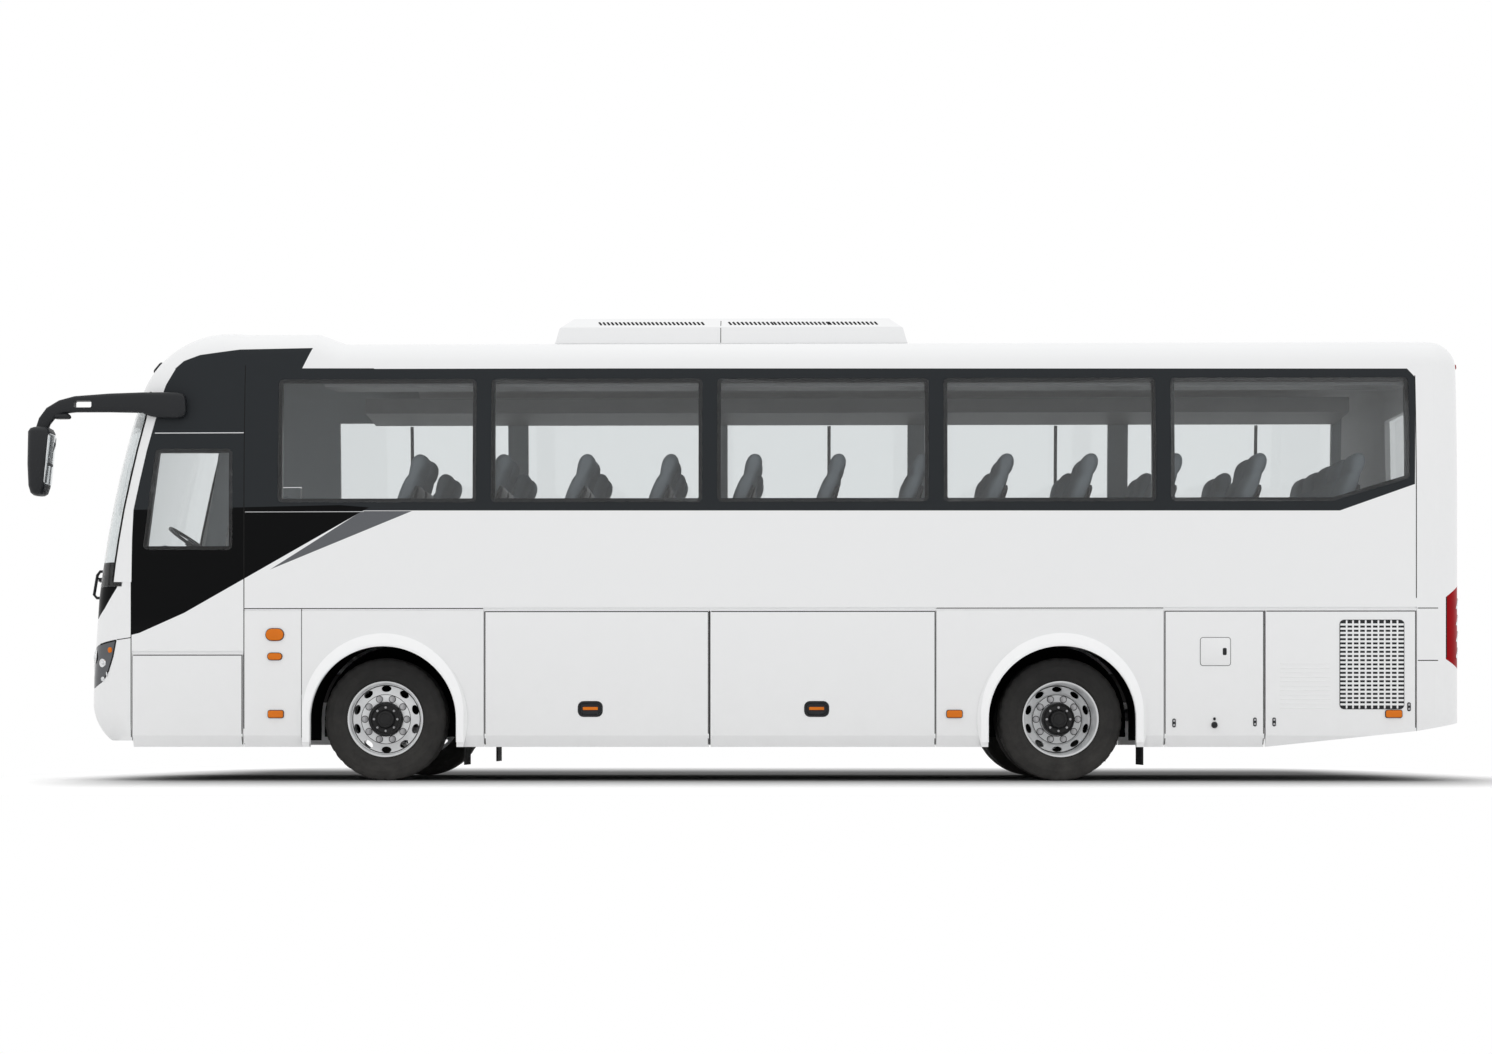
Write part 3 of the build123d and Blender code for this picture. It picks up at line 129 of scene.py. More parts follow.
def math_node(tree, operation, a, b=0.0):
    """A Math node's output for two inputs, each a socket or a number."""
    made = add_node(tree, "Math", operation=operation)
    wire(tree, a, made.inputs[0])
    wire(tree, b, made.inputs[1])
    return made.outputs[0]


def new_group(name, inputs, outputs):
    """An empty shader group with named float inputs (name: default) and float outputs."""
    group = bpy.data.node_groups.new(name, "ShaderNodeTree")
    for key, value in inputs.items():
        socket = group.interface.new_socket(name=key, in_out="INPUT", socket_type="NodeSocketFloat")
        socket.default_value = value
    for key in outputs:
        group.interface.new_socket(name=key, in_out="OUTPUT", socket_type="NodeSocketFloat")
    source = group.nodes.new("NodeGroupInput")
    sink = group.nodes.new("NodeGroupOutput")
    place = add_node(group, "TexCoord").outputs["Object"]
    return group, source.outputs, sink.inputs, place


def use_group(tree, group, **values):
    """Places a group in a material and sets its inputs; gives its outputs."""
    made = tree.nodes.new("ShaderNodeGroup")
    made.node_tree = group
    for key, value in values.items():
        wire(tree, value, made.inputs[key])
    return made.outputs


def noise(tree, place, scale, detail=2.0, roughness=0.5):
    """A noise texture's value at a place."""
    made = add_node(tree, "TexNoise")
    tree.links.new(place, made.inputs["Vector"])
    wire(tree, scale, made.inputs["Scale"])
    made.inputs["Detail"].default_value = detail
    made.inputs["Roughness"].default_value = roughness
    return made.outputs["Fac"]


print("node helpers ready, view transform", scene.view_settings.view_transform)

# %% Shared effects
ripple, ripple_in, ripple_out, spot = new_group("sprayed_ripple", {"Scale": 6.0}, ["Height"])
wire(ripple, noise(ripple, spot, ripple_in["Scale"], 3.0), ripple_out["Height"])

dust, dust_in, dust_out, spot = new_group("road_dust", {"Top": 1.0, "Amount": 0.3}, ["Mask"])
height = add_node(dust, "SeparateXYZ")
dust.links.new(spot, height.inputs[0])
low_down = math_node(dust, "SUBTRACT", 1.0, math_node(dust, "DIVIDE", height.outputs["Z"], dust_in["Top"]))
patches = noise(dust, spot, 7.0, 6.0, 0.7)
patchy = math_node(dust, "MULTIPLY", math_node(dust, "MAXIMUM", low_down, 0.0), patches)
wire(dust, math_node(dust, "MULTIPLY", patchy, dust_in["Amount"]), dust_out["Mask"])

grain, grain_in, grain_out, spot = new_group("moulded_grain", {"Scale": 400.0}, ["Height", "Variation"])
wire(grain, noise(grain, spot, grain_in["Scale"], 2.0), grain_out["Height"])
wire(grain, noise(grain, spot, 3.0, 4.0), grain_out["Variation"])

inward, _, inward_out, spot = new_group("inner_face", {}, ["Mask"])
apart, facing_way = add_node(inward, "SeparateXYZ"), add_node(inward, "SeparateXYZ")
inward.links.new(spot, apart.inputs[0])
inward.links.new(add_node(inward, "TexCoord").outputs["Normal"], facing_way.inputs[0])
side_sign = math_node(inward, "SIGN", apart.outputs["Y"])
outward = math_node(inward, "MULTIPLY", side_sign, facing_way.outputs["Y"])
wire(inward, math_node(inward, "LESS_THAN", outward, -0.3), inward_out["Mask"])
print("groups", [g.name for g in (ripple, dust, grain, inward)])

# %% [markdown]
# The floor and the world are white to the camera, and also in reflections and through glass, so the bus
# stands in a white room. The floor still takes the bus's real shadow. On top of it a painted shadow sinks
# the floor's tone for the camera in a long soft patch under the bus and well behind it, and further out
# it fades into plain white.

# %% Floor
FLOOR_TONE, FLOOR_TONE_SEEN = 0.9, 1.15
# Where the painted shadow on the floor lies and how softly it fades out.
SHADE_MIDDLE_X, SHADE_HALF_X, SHADE_FADE_X = -0.35, 4.7, 1.6
SHADE_NEAR_Y, SHADE_NEAR_FADE = 0.1, 4.2
SHADE_FAR_Y, SHADE_FAR_FADE = -2.0, 4.2
PAINTED_SHADOW_TONE = 0.14
WHITE_FROM_TO = (0.8, 1.25)
WORLD_LIGHT = 0.95


def smooth(tree, value, low, high, to_low=0.0, to_high=1.0):
    """A soft step from one value to another."""
    step = add_node(tree, "MapRange", interpolation_type="SMOOTHSTEP")
    tree.links.new(value, step.inputs["Value"])
    for key, number in (("From Min", low), ("From Max", high), ("To Min", to_low), ("To Max", to_high)):
        step.inputs[key].default_value = number
    return step.outputs[0]


def beyond(tree, more, less, fade):
    """How far one value lies past another, counted in fades, and never below zero."""
    run = math_node(tree, "DIVIDE", math_node(tree, "SUBTRACT", more, less), fade)
    return math_node(tree, "MAXIMUM", run, 0.0)


def any_ray(tree, *kinds):
    """1 for a ray of any of some kinds."""
    path = add_node(tree, "LightPath")
    found = path.outputs[kinds[0]]
    for kind in kinds[1:]:
        found = math_node(tree, "MAXIMUM", found, path.outputs[kind])
    return found


floor_mesh = bpy.data.meshes.new("floor")
floor_mesh.from_pydata([(-60, -60, 0), (60, -60, 0), (60, 60, 0), (-60, 60, 0)], [], [(0, 1, 2, 3)])
floor = bpy.data.objects.new("floor", floor_mesh)
scene.collection.objects.link(floor)
floor_finish, tree, shader = new_material("pale_floor")
shader.inputs["Roughness"].default_value = 1.0
shader.inputs["Specular IOR Level"].default_value = 0.0
apart = add_node(tree, "SeparateXYZ")
tree.links.new(add_node(tree, "TexCoord").outputs["Object"], apart.inputs[0])
from_middle = math_node(tree, "ABSOLUTE", math_node(tree, "SUBTRACT", apart.outputs["X"], SHADE_MIDDLE_X))
along = beyond(tree, from_middle, SHADE_HALF_X, SHADE_FADE_X)
near = beyond(tree, apart.outputs["Y"], SHADE_NEAR_Y, SHADE_NEAR_FADE)
far = beyond(tree, SHADE_FAR_Y, apart.outputs["Y"], SHADE_FAR_FADE)
across = math_node(tree, "MAXIMUM", near, far)
squares = [math_node(tree, "MULTIPLY", run, run) for run in (along, across)]
away = math_node(tree, "SQRT", math_node(tree, "ADD", *squares))
camera_ray = any_ray(tree, "Is Camera Ray")
# Painted shadow: the floor's tone seen by the camera sinks near the bus and recovers further out.
shaded = smooth(tree, away, 0.0, 1.0, PAINTED_SHADOW_TONE * FLOOR_TONE_SEEN, FLOOR_TONE_SEEN)
change = math_node(tree, "MULTIPLY", camera_ray, math_node(tree, "SUBTRACT", shaded, FLOOR_TONE))
tree.links.new(math_node(tree, "ADD", change, FLOOR_TONE), shader.inputs["Base Color"])
plain_white = add_node(tree, "Emission")
both = add_node(tree, "MixShader")
fading = smooth(tree, away, *WHITE_FROM_TO)
tree.links.new(math_node(tree, "MULTIPLY", camera_ray, fading), both.inputs[0])
tree.links.new(shader.outputs[0], both.inputs[1])
tree.links.new(plain_white.outputs[0], both.inputs[2])
tree.links.new(both.outputs[0], tree.nodes["Material Output"].inputs["Surface"])
floor_mesh.materials.append(floor_finish)
print("floor", floor_finish.name, "with", len(tree.nodes), "nodes")

# %% World
world = bpy.data.worlds.new("studio")
scene.world = world
world.use_nodes = True
sky_tree = world.node_tree
sky = sky_tree.nodes["Background"]
sky.inputs["Color"].default_value = (1, 1, 1, 1)
strength = add_node(sky_tree, "MapRange")
strength.inputs["To Min"].default_value = WORLD_LIGHT
seen_ray = any_ray(sky_tree, "Is Camera Ray", "Is Glossy Ray", "Is Transmission Ray")
sky_tree.links.new(seen_ray, strength.inputs["Value"])
sky_tree.links.new(strength.outputs[0], sky.inputs["Strength"])
print("world lights at", WORLD_LIGHT, "and shows as plain white")

# %% [markdown]
# One broad lamp high over the bus lifts the roof above the sides and gives the wheel openings their
# shade, as a studio's ceiling does. Small lamps would leave hard shadows and bright spots that the even
# paint lacks.

# %% Lamp
overhead_data = bpy.data.lights.new("overhead", "AREA")
overhead_data.shape = "RECTANGLE"
overhead_data.size, overhead_data.size_y = 18, 9
overhead_data.energy = 160
overhead = bpy.data.objects.new("overhead", overhead_data)
overhead.location = (0, 2, 11)
overhead.rotation_euler = (Vector((0, 0, 1)) - overhead.location).to_track_quat("-Z", "Y").to_euler()
scene.collection.objects.link(overhead)
print("one overhead lamp of", overhead_data.energy, "W")

# %% [markdown]
# The livery is white with a black band that runs from the rear window to the eyebrow over the screen, a
# black wedge that sweeps down to the lower front, and a grey blade along it. Separate black panels
# would need seams the real bus lacks, so the band is paint: a mask over side view places, x forward and
# z up. Outlines were read off the side view, and rays from the camera carry them onto the curved
# bodywork.

# %% Places in the side view
PX_SIZE = 0.0079
PX_GROWTH_X, PX_GROWTH_Z = 5.97e-6, 7.0e-6


def px(x, y):
    """A place on the side of the bus, from a place in the side view picture: forward and up, in metres."""
    aside = x - IMAGE_W / 2
    across = aside * PX_SIZE * (1 + PX_GROWTH_X * aside)
    return (CAMERA_X - across, CAMERA_HEIGHT + (HORIZON_PX - y) * PX_SIZE * (1 + PX_GROWTH_Z * aside))


SHELL = (
    "front_cap", "front_bumper", "cab_wall_left", "side_wall_left", "roof", "skirt_left", "cab_flap_left",
)


def sight(x, y):
    """The direction in which the camera sees a place in the picture."""
    look = Vector(((x - IMAGE_W / 2) / FOCAL_PX, (HORIZON_PX - y) / FOCAL_PX, -1))
    return camera.rotation_euler.to_matrix() @ look


def seen_at(x, y, names=SHELL):
    """The point and normal that the camera sees on some nodes at a place in the picture, or None."""
    best = None
    for name in names:
        hit, point, normal, _ = nodes[name].ray_cast(camera.location, sight(x, y))
        if hit and (best is None or point.y > best[0].y):
            best = (point, normal)
    return best


def on_shell(x, y):
    """Forward and up of the bodywork seen at a place in the picture; bodywork curves, so a ray finds it."""
    found = seen_at(x, y)
    return px(x, y) if found is None else (found[0].x, found[0].z)


print("middle of the side view lies at", [round(v, 3) for v in px(IMAGE_W / 2, HORIZON_PX)])

# %% Livery masks
def convex_mask(tree, place, corners):
    """How far inside a convex outline a place is, in metres; below zero outside."""
    area = sum(a[0] * b[1] - b[0] * a[1] for a, b in zip(corners, corners[1:] + corners[:1]))
    if area < 0:
        corners = corners[::-1]
    inside = None
    for (x0, z0), (x1, z1) in zip(corners, corners[1:] + corners[:1]):
        run = sqrt((x1 - x0) ** 2 + (z1 - z0) ** 2)
        edge = add_node(tree, "VectorMath", operation="DOT_PRODUCT")
        tree.links.new(place, edge.inputs[0])
        normal = (-(z1 - z0) / run, (x1 - x0) / run)
        edge.inputs[1].default_value = (normal[0], 0, normal[1])
        depth = math_node(tree, "SUBTRACT", edge.outputs["Value"], normal[0] * x0 + normal[1] * z0)
        inside = depth if inside is None else math_node(tree, "MINIMUM", inside, depth)
    return inside


def union_mask(tree, place, outlines, soft=0.002):
    """1 inside any of the outlines, 0 outside, with an edge as soft as a paint line."""
    best = None
    for corners in outlines:
        depth = convex_mask(tree, place, corners)
        best = depth if best is None else math_node(tree, "MAXIMUM", best, depth)
    edge = add_node(tree, "MapRange")
    tree.links.new(best, edge.inputs["Value"])
    edge.inputs["From Min"].default_value = -soft / 2
    edge.inputs["From Max"].default_value = soft / 2
    return edge.outputs[0]


band_rows = [
    [(302, 368.3), (1407, 368.5), (1415, 377), (1415, 484), (1340, 510.5), (302, 510.5)],
    [(313, 348), (302, 368.8), (175, 368.8), (184, 361), (200, 355), (240, 349.5)],
    [
        (310, 368.3), (310, 510.5), (133, 510.5), (141.5, 467), (151.5, 431), (159, 405), (166, 385),
        (176, 368.3),
    ],
]
wedge_row = [
    (133, 510), (340, 505), (412, 511), (184, 613), (160, 626.7), (150, 630.3), (131.2, 635), (131.3, 581),
    (131.8, 545),
]
cowl_row = [(113, 555), (113, 583), (108, 596), (98, 607), (92, 616), (70, 622), (70, 555)]
blade_row = [(270, 569.5), (412, 511), (362, 511)]
band_outlines = [[on_shell(x, y) for x, y in row] for row in band_rows]
wedge_outlines = [[on_shell(x, y) for x, y in wedge_row], [px(x, y) for x, y in cowl_row]]
blade_outlines = [[on_shell(x, y) for x, y in blade_row]]
livery, _, livery_out, spot = new_group("livery", {}, ["Band", "Wedge", "Blade"])
wire(livery, union_mask(livery, spot, band_outlines), livery_out["Band"])
wire(livery, union_mask(livery, spot, wedge_outlines), livery_out["Wedge"])
wire(livery, union_mask(livery, spot, blade_outlines), livery_out["Blade"])
print("livery group with", len(livery.nodes), "nodes")

# %% [markdown]
# Most of what shows is one of three finishes: sprayed paint, moulded or cast stuff with a fine grain,
# and glass. Each is a function that wires the shared groups with its own values, so twenty finishes
# stay short to write and alike in make. The bodywork's inner faces are lined in grey, which is what
# shows through the windows.

# %% Finishes
def mix_colour(tree, mask, a, b):
    """Colour a where the mask is 0 and b where it is 1."""
    made = add_node(tree, "Mix", data_type="RGBA")
    for socket, value in zip((made.inputs[0], made.inputs[6], made.inputs[7]), (mask, a, b)):
        wire(tree, value, socket)
    return made.outputs[2]


def set_bump(tree, shader, height, strength, distance):
    """Bump on a material from a height socket."""
    bump = add_node(tree, "Bump")
    bump.inputs["Strength"].default_value = strength
    bump.inputs["Distance"].default_value = distance
    tree.links.new(height, bump.inputs["Height"])
    tree.links.new(bump.outputs["Normal"], shader.inputs["Normal"])


WHITE = (0.86, 0.865, 0.87, 1)
BLACK = (0.003, 0.0032, 0.0035, 1)
# The band's colour is partly its own black and partly a painted reflection, so it is lighter and bluer than
# the wedge's black.
BAND_BLACK_AND_SHEEN = (0.026, 0.029, 0.032, 1)
BLADE_GREY = (0.115, 0.12, 0.13, 1)
LINING_GREY = (0.38, 0.41, 0.43, 1)
DUST = (0.36, 0.34, 0.31, 1)


def paint(name, base, with_livery=False, dusty=0.12, gloss=0.3):
    """Glossy sprayed paint with a faint ripple and a little road dust low down."""
    made, tree, shader = new_material(name)
    colour = base
    if with_livery:
        masks = use_group(tree, livery)
        colour = mix_colour(tree, masks["Band"], colour, BAND_BLACK_AND_SHEEN)
        colour = mix_colour(tree, masks["Wedge"], colour, BLACK)
        colour = mix_colour(tree, masks["Blade"], colour, BLADE_GREY)
        colour = mix_colour(tree, use_group(tree, inward)["Mask"], colour, LINING_GREY)
        dark = math_node(tree, "MAXIMUM", masks["Band"], masks["Wedge"])
        bright = math_node(tree, "SUBTRACT", 1.0, dark)
        tree.links.new(math_node(tree, "MULTIPLY", bright, gloss), shader.inputs["Coat Weight"])
    else:
        shader.inputs["Coat Weight"].default_value = gloss
    soil = use_group(tree, dust, Top=1.3, Amount=dusty)["Mask"]
    tree.links.new(mix_colour(tree, soil, colour, DUST), shader.inputs["Base Color"])
    rough = math_node(tree, "MULTIPLY_ADD", soil, 0.5)
    rough.node.inputs[2].default_value = 0.28
    tree.links.new(rough, shader.inputs["Roughness"])
    shader.inputs["Specular IOR Level"].default_value = 0.06
    shader.inputs["Coat Roughness"].default_value = 0.08
    set_bump(tree, shader, use_group(tree, ripple, Scale=5.0)["Height"], 0.08, 0.004)
    return made


def plain_finish(
    name, base, roughness, metallic=0.0, shine=0.5, grain_scale=400.0, bump=0.15, dusty=0.0, spread=0.25
):
    """Plastic, rubber or metal with a fine grain and slight changes of tone."""
    made, tree, shader = new_material(name)
    texture = use_group(tree, grain, Scale=grain_scale)
    darker = tuple(c * (1 - spread) for c in base[:3]) + (1,)
    colour = mix_colour(tree, texture["Variation"], darker, base)
    if dusty:
        colour = mix_colour(tree, use_group(tree, dust, Top=1.2, Amount=dusty)["Mask"], colour, DUST)
    tree.links.new(colour, shader.inputs["Base Color"])
    shader.inputs["Roughness"].default_value = roughness
    shader.inputs["Metallic"].default_value = metallic
    shader.inputs["Specular IOR Level"].default_value = shine
    set_bump(tree, shader, texture["Height"], bump, 0.001)
    return made


def glass_finish(name, tint, roughness=0.0):
    """Clear or tinted pane."""
    made, tree, shader = new_material(name)
    shader.inputs["Base Color"].default_value = tint
    shader.inputs["Roughness"].default_value = roughness
    shader.inputs["IOR"].default_value = 1.45
    shader.inputs["Transmission Weight"].default_value = 1.0
    return made


print("paint, grained and glass finishes can be made")

# %% The bus's own finishes
white_livery = paint("white_with_black_band", WHITE, with_livery=True)
white_paint = paint("white_paint", WHITE)
pane = glass_finish("bonded_glass", (0.82, 0.84, 0.845, 1))
tyre_rubber = plain_finish(
    "tyre_rubber", (0.012, 0.012, 0.0125, 1), 0.72, shine=0.2, dusty=0.16, grain_scale=250
)
rim_paint = plain_finish("silver_rim", (0.80, 0.81, 0.82, 1), 0.34, metallic=0.2, dusty=0.12)
chassis_paint = plain_finish("chassis_black", (0.022, 0.022, 0.024, 1), 0.55, dusty=0.5)
bare_steel = plain_finish("bare_steel", (0.45, 0.45, 0.46, 1), 0.35, metallic=1.0)
cast_iron = plain_finish("cast_iron", (0.10, 0.10, 0.105, 1), 0.65, metallic=0.6)
soft_rubber = plain_finish("soft_rubber", (0.010, 0.010, 0.010, 1), 0.8, shine=0.2)
black_plastic = plain_finish("black_plastic", (0.013, 0.0145, 0.017, 1), 0.42, shine=0.3)
grey_plastic = plain_finish("grey_plastic", (0.30, 0.305, 0.31, 1), 0.55)
floor_cover = plain_finish("floor_cover", (0.14, 0.14, 0.145, 1), 0.7)
red_lens = plain_finish("red_lens", (0.42, 0.002, 0.006, 1), 0.30, bump=0.02, shine=0.05, spread=0.5)
amber_lens = plain_finish("amber_lens", (0.83, 0.20, 0.004, 1), 0.22, bump=0.02, shine=0.25, spread=0.35)
clear_lens = plain_finish("clear_lens", (0.15, 0.155, 0.165, 1), 0.10, metallic=0.55, bump=0.02, spread=0.6)
housing_black = plain_finish("housing_black", (0.004, 0.004, 0.0042, 1), 0.9, shine=0.1)
seat_cloth = plain_finish("seat_cloth", (0.27, 0.305, 0.335, 1), 0.85, shine=0.2, grain_scale=900, bump=0.4)
print("finishes", len(bpy.data.materials))

# %% Finishes on the carried-over solids
node_finish = {
    white_livery: "cab_wall_left cab_wall_right front_bumper front_cap side_wall_left side_wall_right "
    "passenger_door",
    white_paint: "rear_cap roof skirt_left skirt_right cab_flap_left rear_hatch roof_unit "
    "luggage_door_front_left luggage_door_front_right luggage_door_rear_left luggage_door_rear_right "
    "service_door_left service_door_right engine_door_left engine_door_right",
    pane: "side_glass_left side_glass_right windscreen rear_glass passenger_door_glass",
    clear_lens: "headlamps",
    red_lens: "tail_lamps",
    amber_lens: "side_lamps",
    tyre_rubber: "tyre_front_left tyre_front_right tyres_rear_left tyres_rear_right",
    rim_paint: "rim_front_left rim_front_right rims_rear_left rims_rear_right",
    chassis_paint: "underframe front_axle rear_axle",
    housing_black: "wheel_housings",
    bare_steel: "knuckle_left knuckle_right tie_rod door_arm",
    cast_iron: "powertrain",
    soft_rubber: "mudflaps air_springs",
    black_plastic: "mirrors wipers dashboard steering_wheel",
    grey_plastic: "luggage_racks",
    floor_cover: "floor_deck entrance_steps",
    seat_cloth: "seats driver_seat",
}
for finish, names in node_finish.items():
    for name in names.split():
        slots = nodes[name].data.materials
        slots.clear()
        slots.append(finish)
dressed = {name for names in node_finish.values() for name in names.split()}
print("nodes without a finish:", sorted(set(nodes) - dressed))

# %% [markdown]
# Wheels carry a bus's look from close by. A tyre is a turned body: one profile swept round the axle,
# with the bead, the sidewall's rings, the shoulder and the grooves all in that profile. The shoulder's
# cross cuts come from lowering some steps of the sweep. A torus or a texture would not give the flat
# tread its edges.

# %% Turning and other mesh helpers
def turned(profile, steps, notch=None):
    """A closed body of revolution about +Y; profile points are (radius, outward)."""
    bm = bmesh.new()
    rings = []
    for index, (radius, out) in enumerate(profile):
        if radius < 1e-6:
            rings.append([bm.verts.new((0, out, 0))])
            continue
        ring = []
        for step in range(steps):
            r = radius - (notch(index, step) if notch else 0.0)
            turn = 2 * pi * step / steps
            ring.append(bm.verts.new((r * cos(turn), out, r * sin(turn))))
        rings.append(ring)
    closed = len(rings[0]) > 1 and len(rings[-1]) > 1
    for a, b in zip(rings, rings[1:] + (rings[:1] if closed else [])):
        for step in range(steps if len(a) + len(b) > 2 else 0):
            after = (step + 1) % steps
            if len(a) == 1:
                bm.faces.new((a[0], b[after], b[step]))
            elif len(b) == 1:
                bm.faces.new((a[step], a[after], b[0]))
            else:
                bm.faces.new((a[step], a[after], b[after], b[step]))
    bmesh.ops.recalc_face_normals(bm, faces=bm.faces)
    return bm


def merge(bm, other):
    """Moves one bmesh into another."""
    mesh = bpy.data.meshes.new("merged")
    other.to_mesh(mesh)
    other.free()
    bm.from_mesh(mesh)
    bpy.data.meshes.remove(mesh)


SORT_ALONG = Vector((1.0, 7.31, 53.77))


def bar(bm, low, high, bevel):
    """Adds a block between two corners, with its edges eased."""
    block = bmesh.new()
    corners = bmesh.ops.create_cube(block, size=1.0)["verts"]
    bmesh.ops.scale(block, vec=[b - a for a, b in zip(low, high)], verts=corners)
    bmesh.ops.translate(block, vec=[(a + b) / 2 for a, b in zip(low, high)], verts=corners)
    bmesh.ops.bevel(block, geom=block.edges[:], offset=bevel, segments=2, affect="EDGES", profile=0.6)
    # A bevel leaves its faces in an order that changes from run to run, so they are sorted by place.
    block.verts.sort(key=lambda vert: vert.co.dot(SORT_ALONG))
    block.faces.sort(key=lambda face: face.calc_center_median().dot(SORT_ALONG))
    merge(bm, block)


def body_of(node):
    """The moving body that a node belongs to."""
    return nodes[node]["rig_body"]


def piece(name, bm, finish, body, stands_for=(), at=None, crease=35):
    """Makes an object of a finished bmesh, gives it its finish and lets it ride on a body."""
    if at is not None:
        bmesh.ops.transform(bm, matrix=at, verts=bm.verts)
    bmesh.ops.recalc_face_normals(bm, faces=bm.faces)
    mesh = bpy.data.meshes.new(name)
    bm.to_mesh(mesh)
    bm.free()
    mesh.materials.append(finish)
    mesh.shade_smooth()
    mesh.set_sharp_from_angle(angle=radians(crease))
    made = bpy.data.objects.new(name, mesh)
    scene.collection.objects.link(made)
    if stands_for:
        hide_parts(*stands_for)
    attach(made, body)
    return made


def rounded(width, height, radius, steps=4):
    """Outline points of a rounded rectangle about the origin."""
    points = []
    for across, up, start in ((1, 1, 0), (-1, 1, 90), (-1, -1, 180), (1, -1, 270)):
        for step in range(steps + 1):
            turn = radians(start + 90 * step / steps)
            x = across * (width / 2 - radius) + radius * cos(turn)
            points.append((x, up * (height / 2 - radius) + radius * sin(turn)))
    return points


def skin(bm, loops):
    """Joins loops of equal length into one closed body."""
    for a, b in zip(loops, loops[1:]):
        for index in range(len(a)):
            after = (index + 1) % len(a)
            bm.faces.new((a[index], a[after], b[after], b[index]))
    bm.faces.new(loops[0][::-1])
    bm.faces.new(loops[-1])


def pad(bm, seat, size, radius, rows, at=(0, 0)):
    """Adds a rounded pad on a seat; rows are (drawn in, set out), and at moves it along the surface."""
    loops = []
    for inset, out in rows:
        outline = rounded(size[0] - 2 * inset, size[1] - 2 * inset, max(radius - inset, 0.0004))
        loops.append([bm.verts.new(seat @ Vector((at[0] + x, out, at[1] + z))) for x, z in outline])
    skin(bm, loops)


print("mesh helpers ready for", len(nodes), "nodes")

# %% Tyres
half_side = [
    (0.290, 0.098), (0.301, 0.107), (0.316, 0.1115), (0.319, 0.1155), (0.330, 0.1185), (0.352, 0.1225),
    (0.3545, 0.1240), (0.358, 0.1232), (0.385, 0.1250), (0.412, 0.1245), (0.415, 0.1250),
    (0.419, 0.1238), (0.440, 0.1195), (0.452, 0.1160), (0.460, 0.1150), (0.470, 0.1090),
    (0.4805, 0.1030), (0.4855, 0.0960), (0.4870, 0.0620), (0.4750, 0.0600), (0.4750, 0.0520),
    (0.4875, 0.0500), (0.4880, 0.0200), (0.4755, 0.0180), (0.4755, 0.0100), (0.4880, 0.0080),
]
tyre_profile = half_side + [(r, -out) for r, out in half_side[::-1]]
TYRE_STEPS, TYRE_HALF = 128, 0.125
SHOULDER, SHOULDER_CUT, CUT_EVERY = range(14, 18), 0.009, 4


def shoulder_cut(index, step):
    """Depth of the shoulder's cross cuts at a point of the profile."""
    from_edge = min(index, len(tyre_profile) - 1 - index)
    return SHOULDER_CUT if from_edge in SHOULDER and step % CUT_EVERY == 0 else 0.0


def tyre_widths(node, side):
    """Where a wheel's outer and inner tyre lie across the bus; a single tyre gives the same place twice."""
    low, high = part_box(node)
    ends = (high[1] - TYRE_HALF, low[1] + TYRE_HALF)
    return ends if side > 0 else ends[::-1]


def wheel_place(node, out):
    """Centre of the tyre of a wheel's node that lies at a given width."""
    low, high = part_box(node)
    return Matrix.Translation(((low[0] + high[0]) / 2, out, (low[2] + high[2]) / 2))


wheel_rows = [
    ("front_left", "tyre_front_left", "rim_front_left", "front_wheel_left", 1),
    ("front_right", "tyre_front_right", "rim_front_right", "front_wheel_right", -1),
    ("rear_left", "tyres_rear_left", "rims_rear_left", "rear_wheels_left", 1),
    ("rear_right", "tyres_rear_right", "rims_rear_right", "rear_wheels_right", -1),
]
for place, tyre_node, rim_node, body, side in wheel_rows:
    outer_y, inner_y = tyre_widths(tyre_node, side)
    rings = turned(tyre_profile, TYRE_STEPS, shoulder_cut)
    bmesh.ops.transform(rings, matrix=wheel_place(tyre_node, outer_y), verts=rings.verts)
    if abs(outer_y - inner_y) > 0.01:
        twin = turned(tyre_profile, TYRE_STEPS, shoulder_cut)
        bmesh.ops.transform(twin, matrix=wheel_place(tyre_node, inner_y), verts=twin.verts)
        merge(rings, twin)
    made = piece("tread_" + place, rings, tyre_rubber, body, stands_for=[tyre_node])
    print(made.name, len(made.data.polygons), "faces, outer tyre at", round(outer_y, 3))

# %% [markdown]
# A steel disc wheel is turned from the same kind of profile and then has its hand holes cut through.
# The front disc bulges out and the rear one is dished, because twin tyres share one hub. The hub, the
# nuts and thin dark rings of painted shade, in the grooves and under the nuts, are pieces of their own,
# so that each keeps its own finish.

# %% Rim profiles
front_face = [
    (0.2990, -0.106), (0.2990, 0.104), (0.3020, 0.110), (0.3010, 0.1145), (0.2960, 0.1155),
    (0.2895, 0.1120), (0.2850, 0.1040), (0.2815, 0.0860), (0.2780, 0.0660), (0.2700, 0.0600),
    (0.2560, 0.0590), (0.2330, 0.0640), (0.2080, 0.0750), (0.1960, 0.0830), (0.1920, 0.0845),
    (0.1400, 0.0845), (0.1360, 0.0825), (0.1330, 0.0830), (0.1320, 0.0850), (0.1300, 0.1050),
    (0.1250, 0.1090), (0.1150, 0.1090), (0.1110, 0.0960), (0.0760, 0.0950), (0.0720, 0.1100),
    (0.0640, 0.1180), (0.0500, 0.1200), (0.0460, 0.1165), (0.0180, 0.1160), (0.0, 0.1160),
]
front_back = [
    (0.0, 0.0380), (0.1300, 0.0380), (0.1900, 0.0600), (0.2560, 0.0420), (0.2720, 0.0400), (0.2720, -0.106),
]
DISH = -0.132
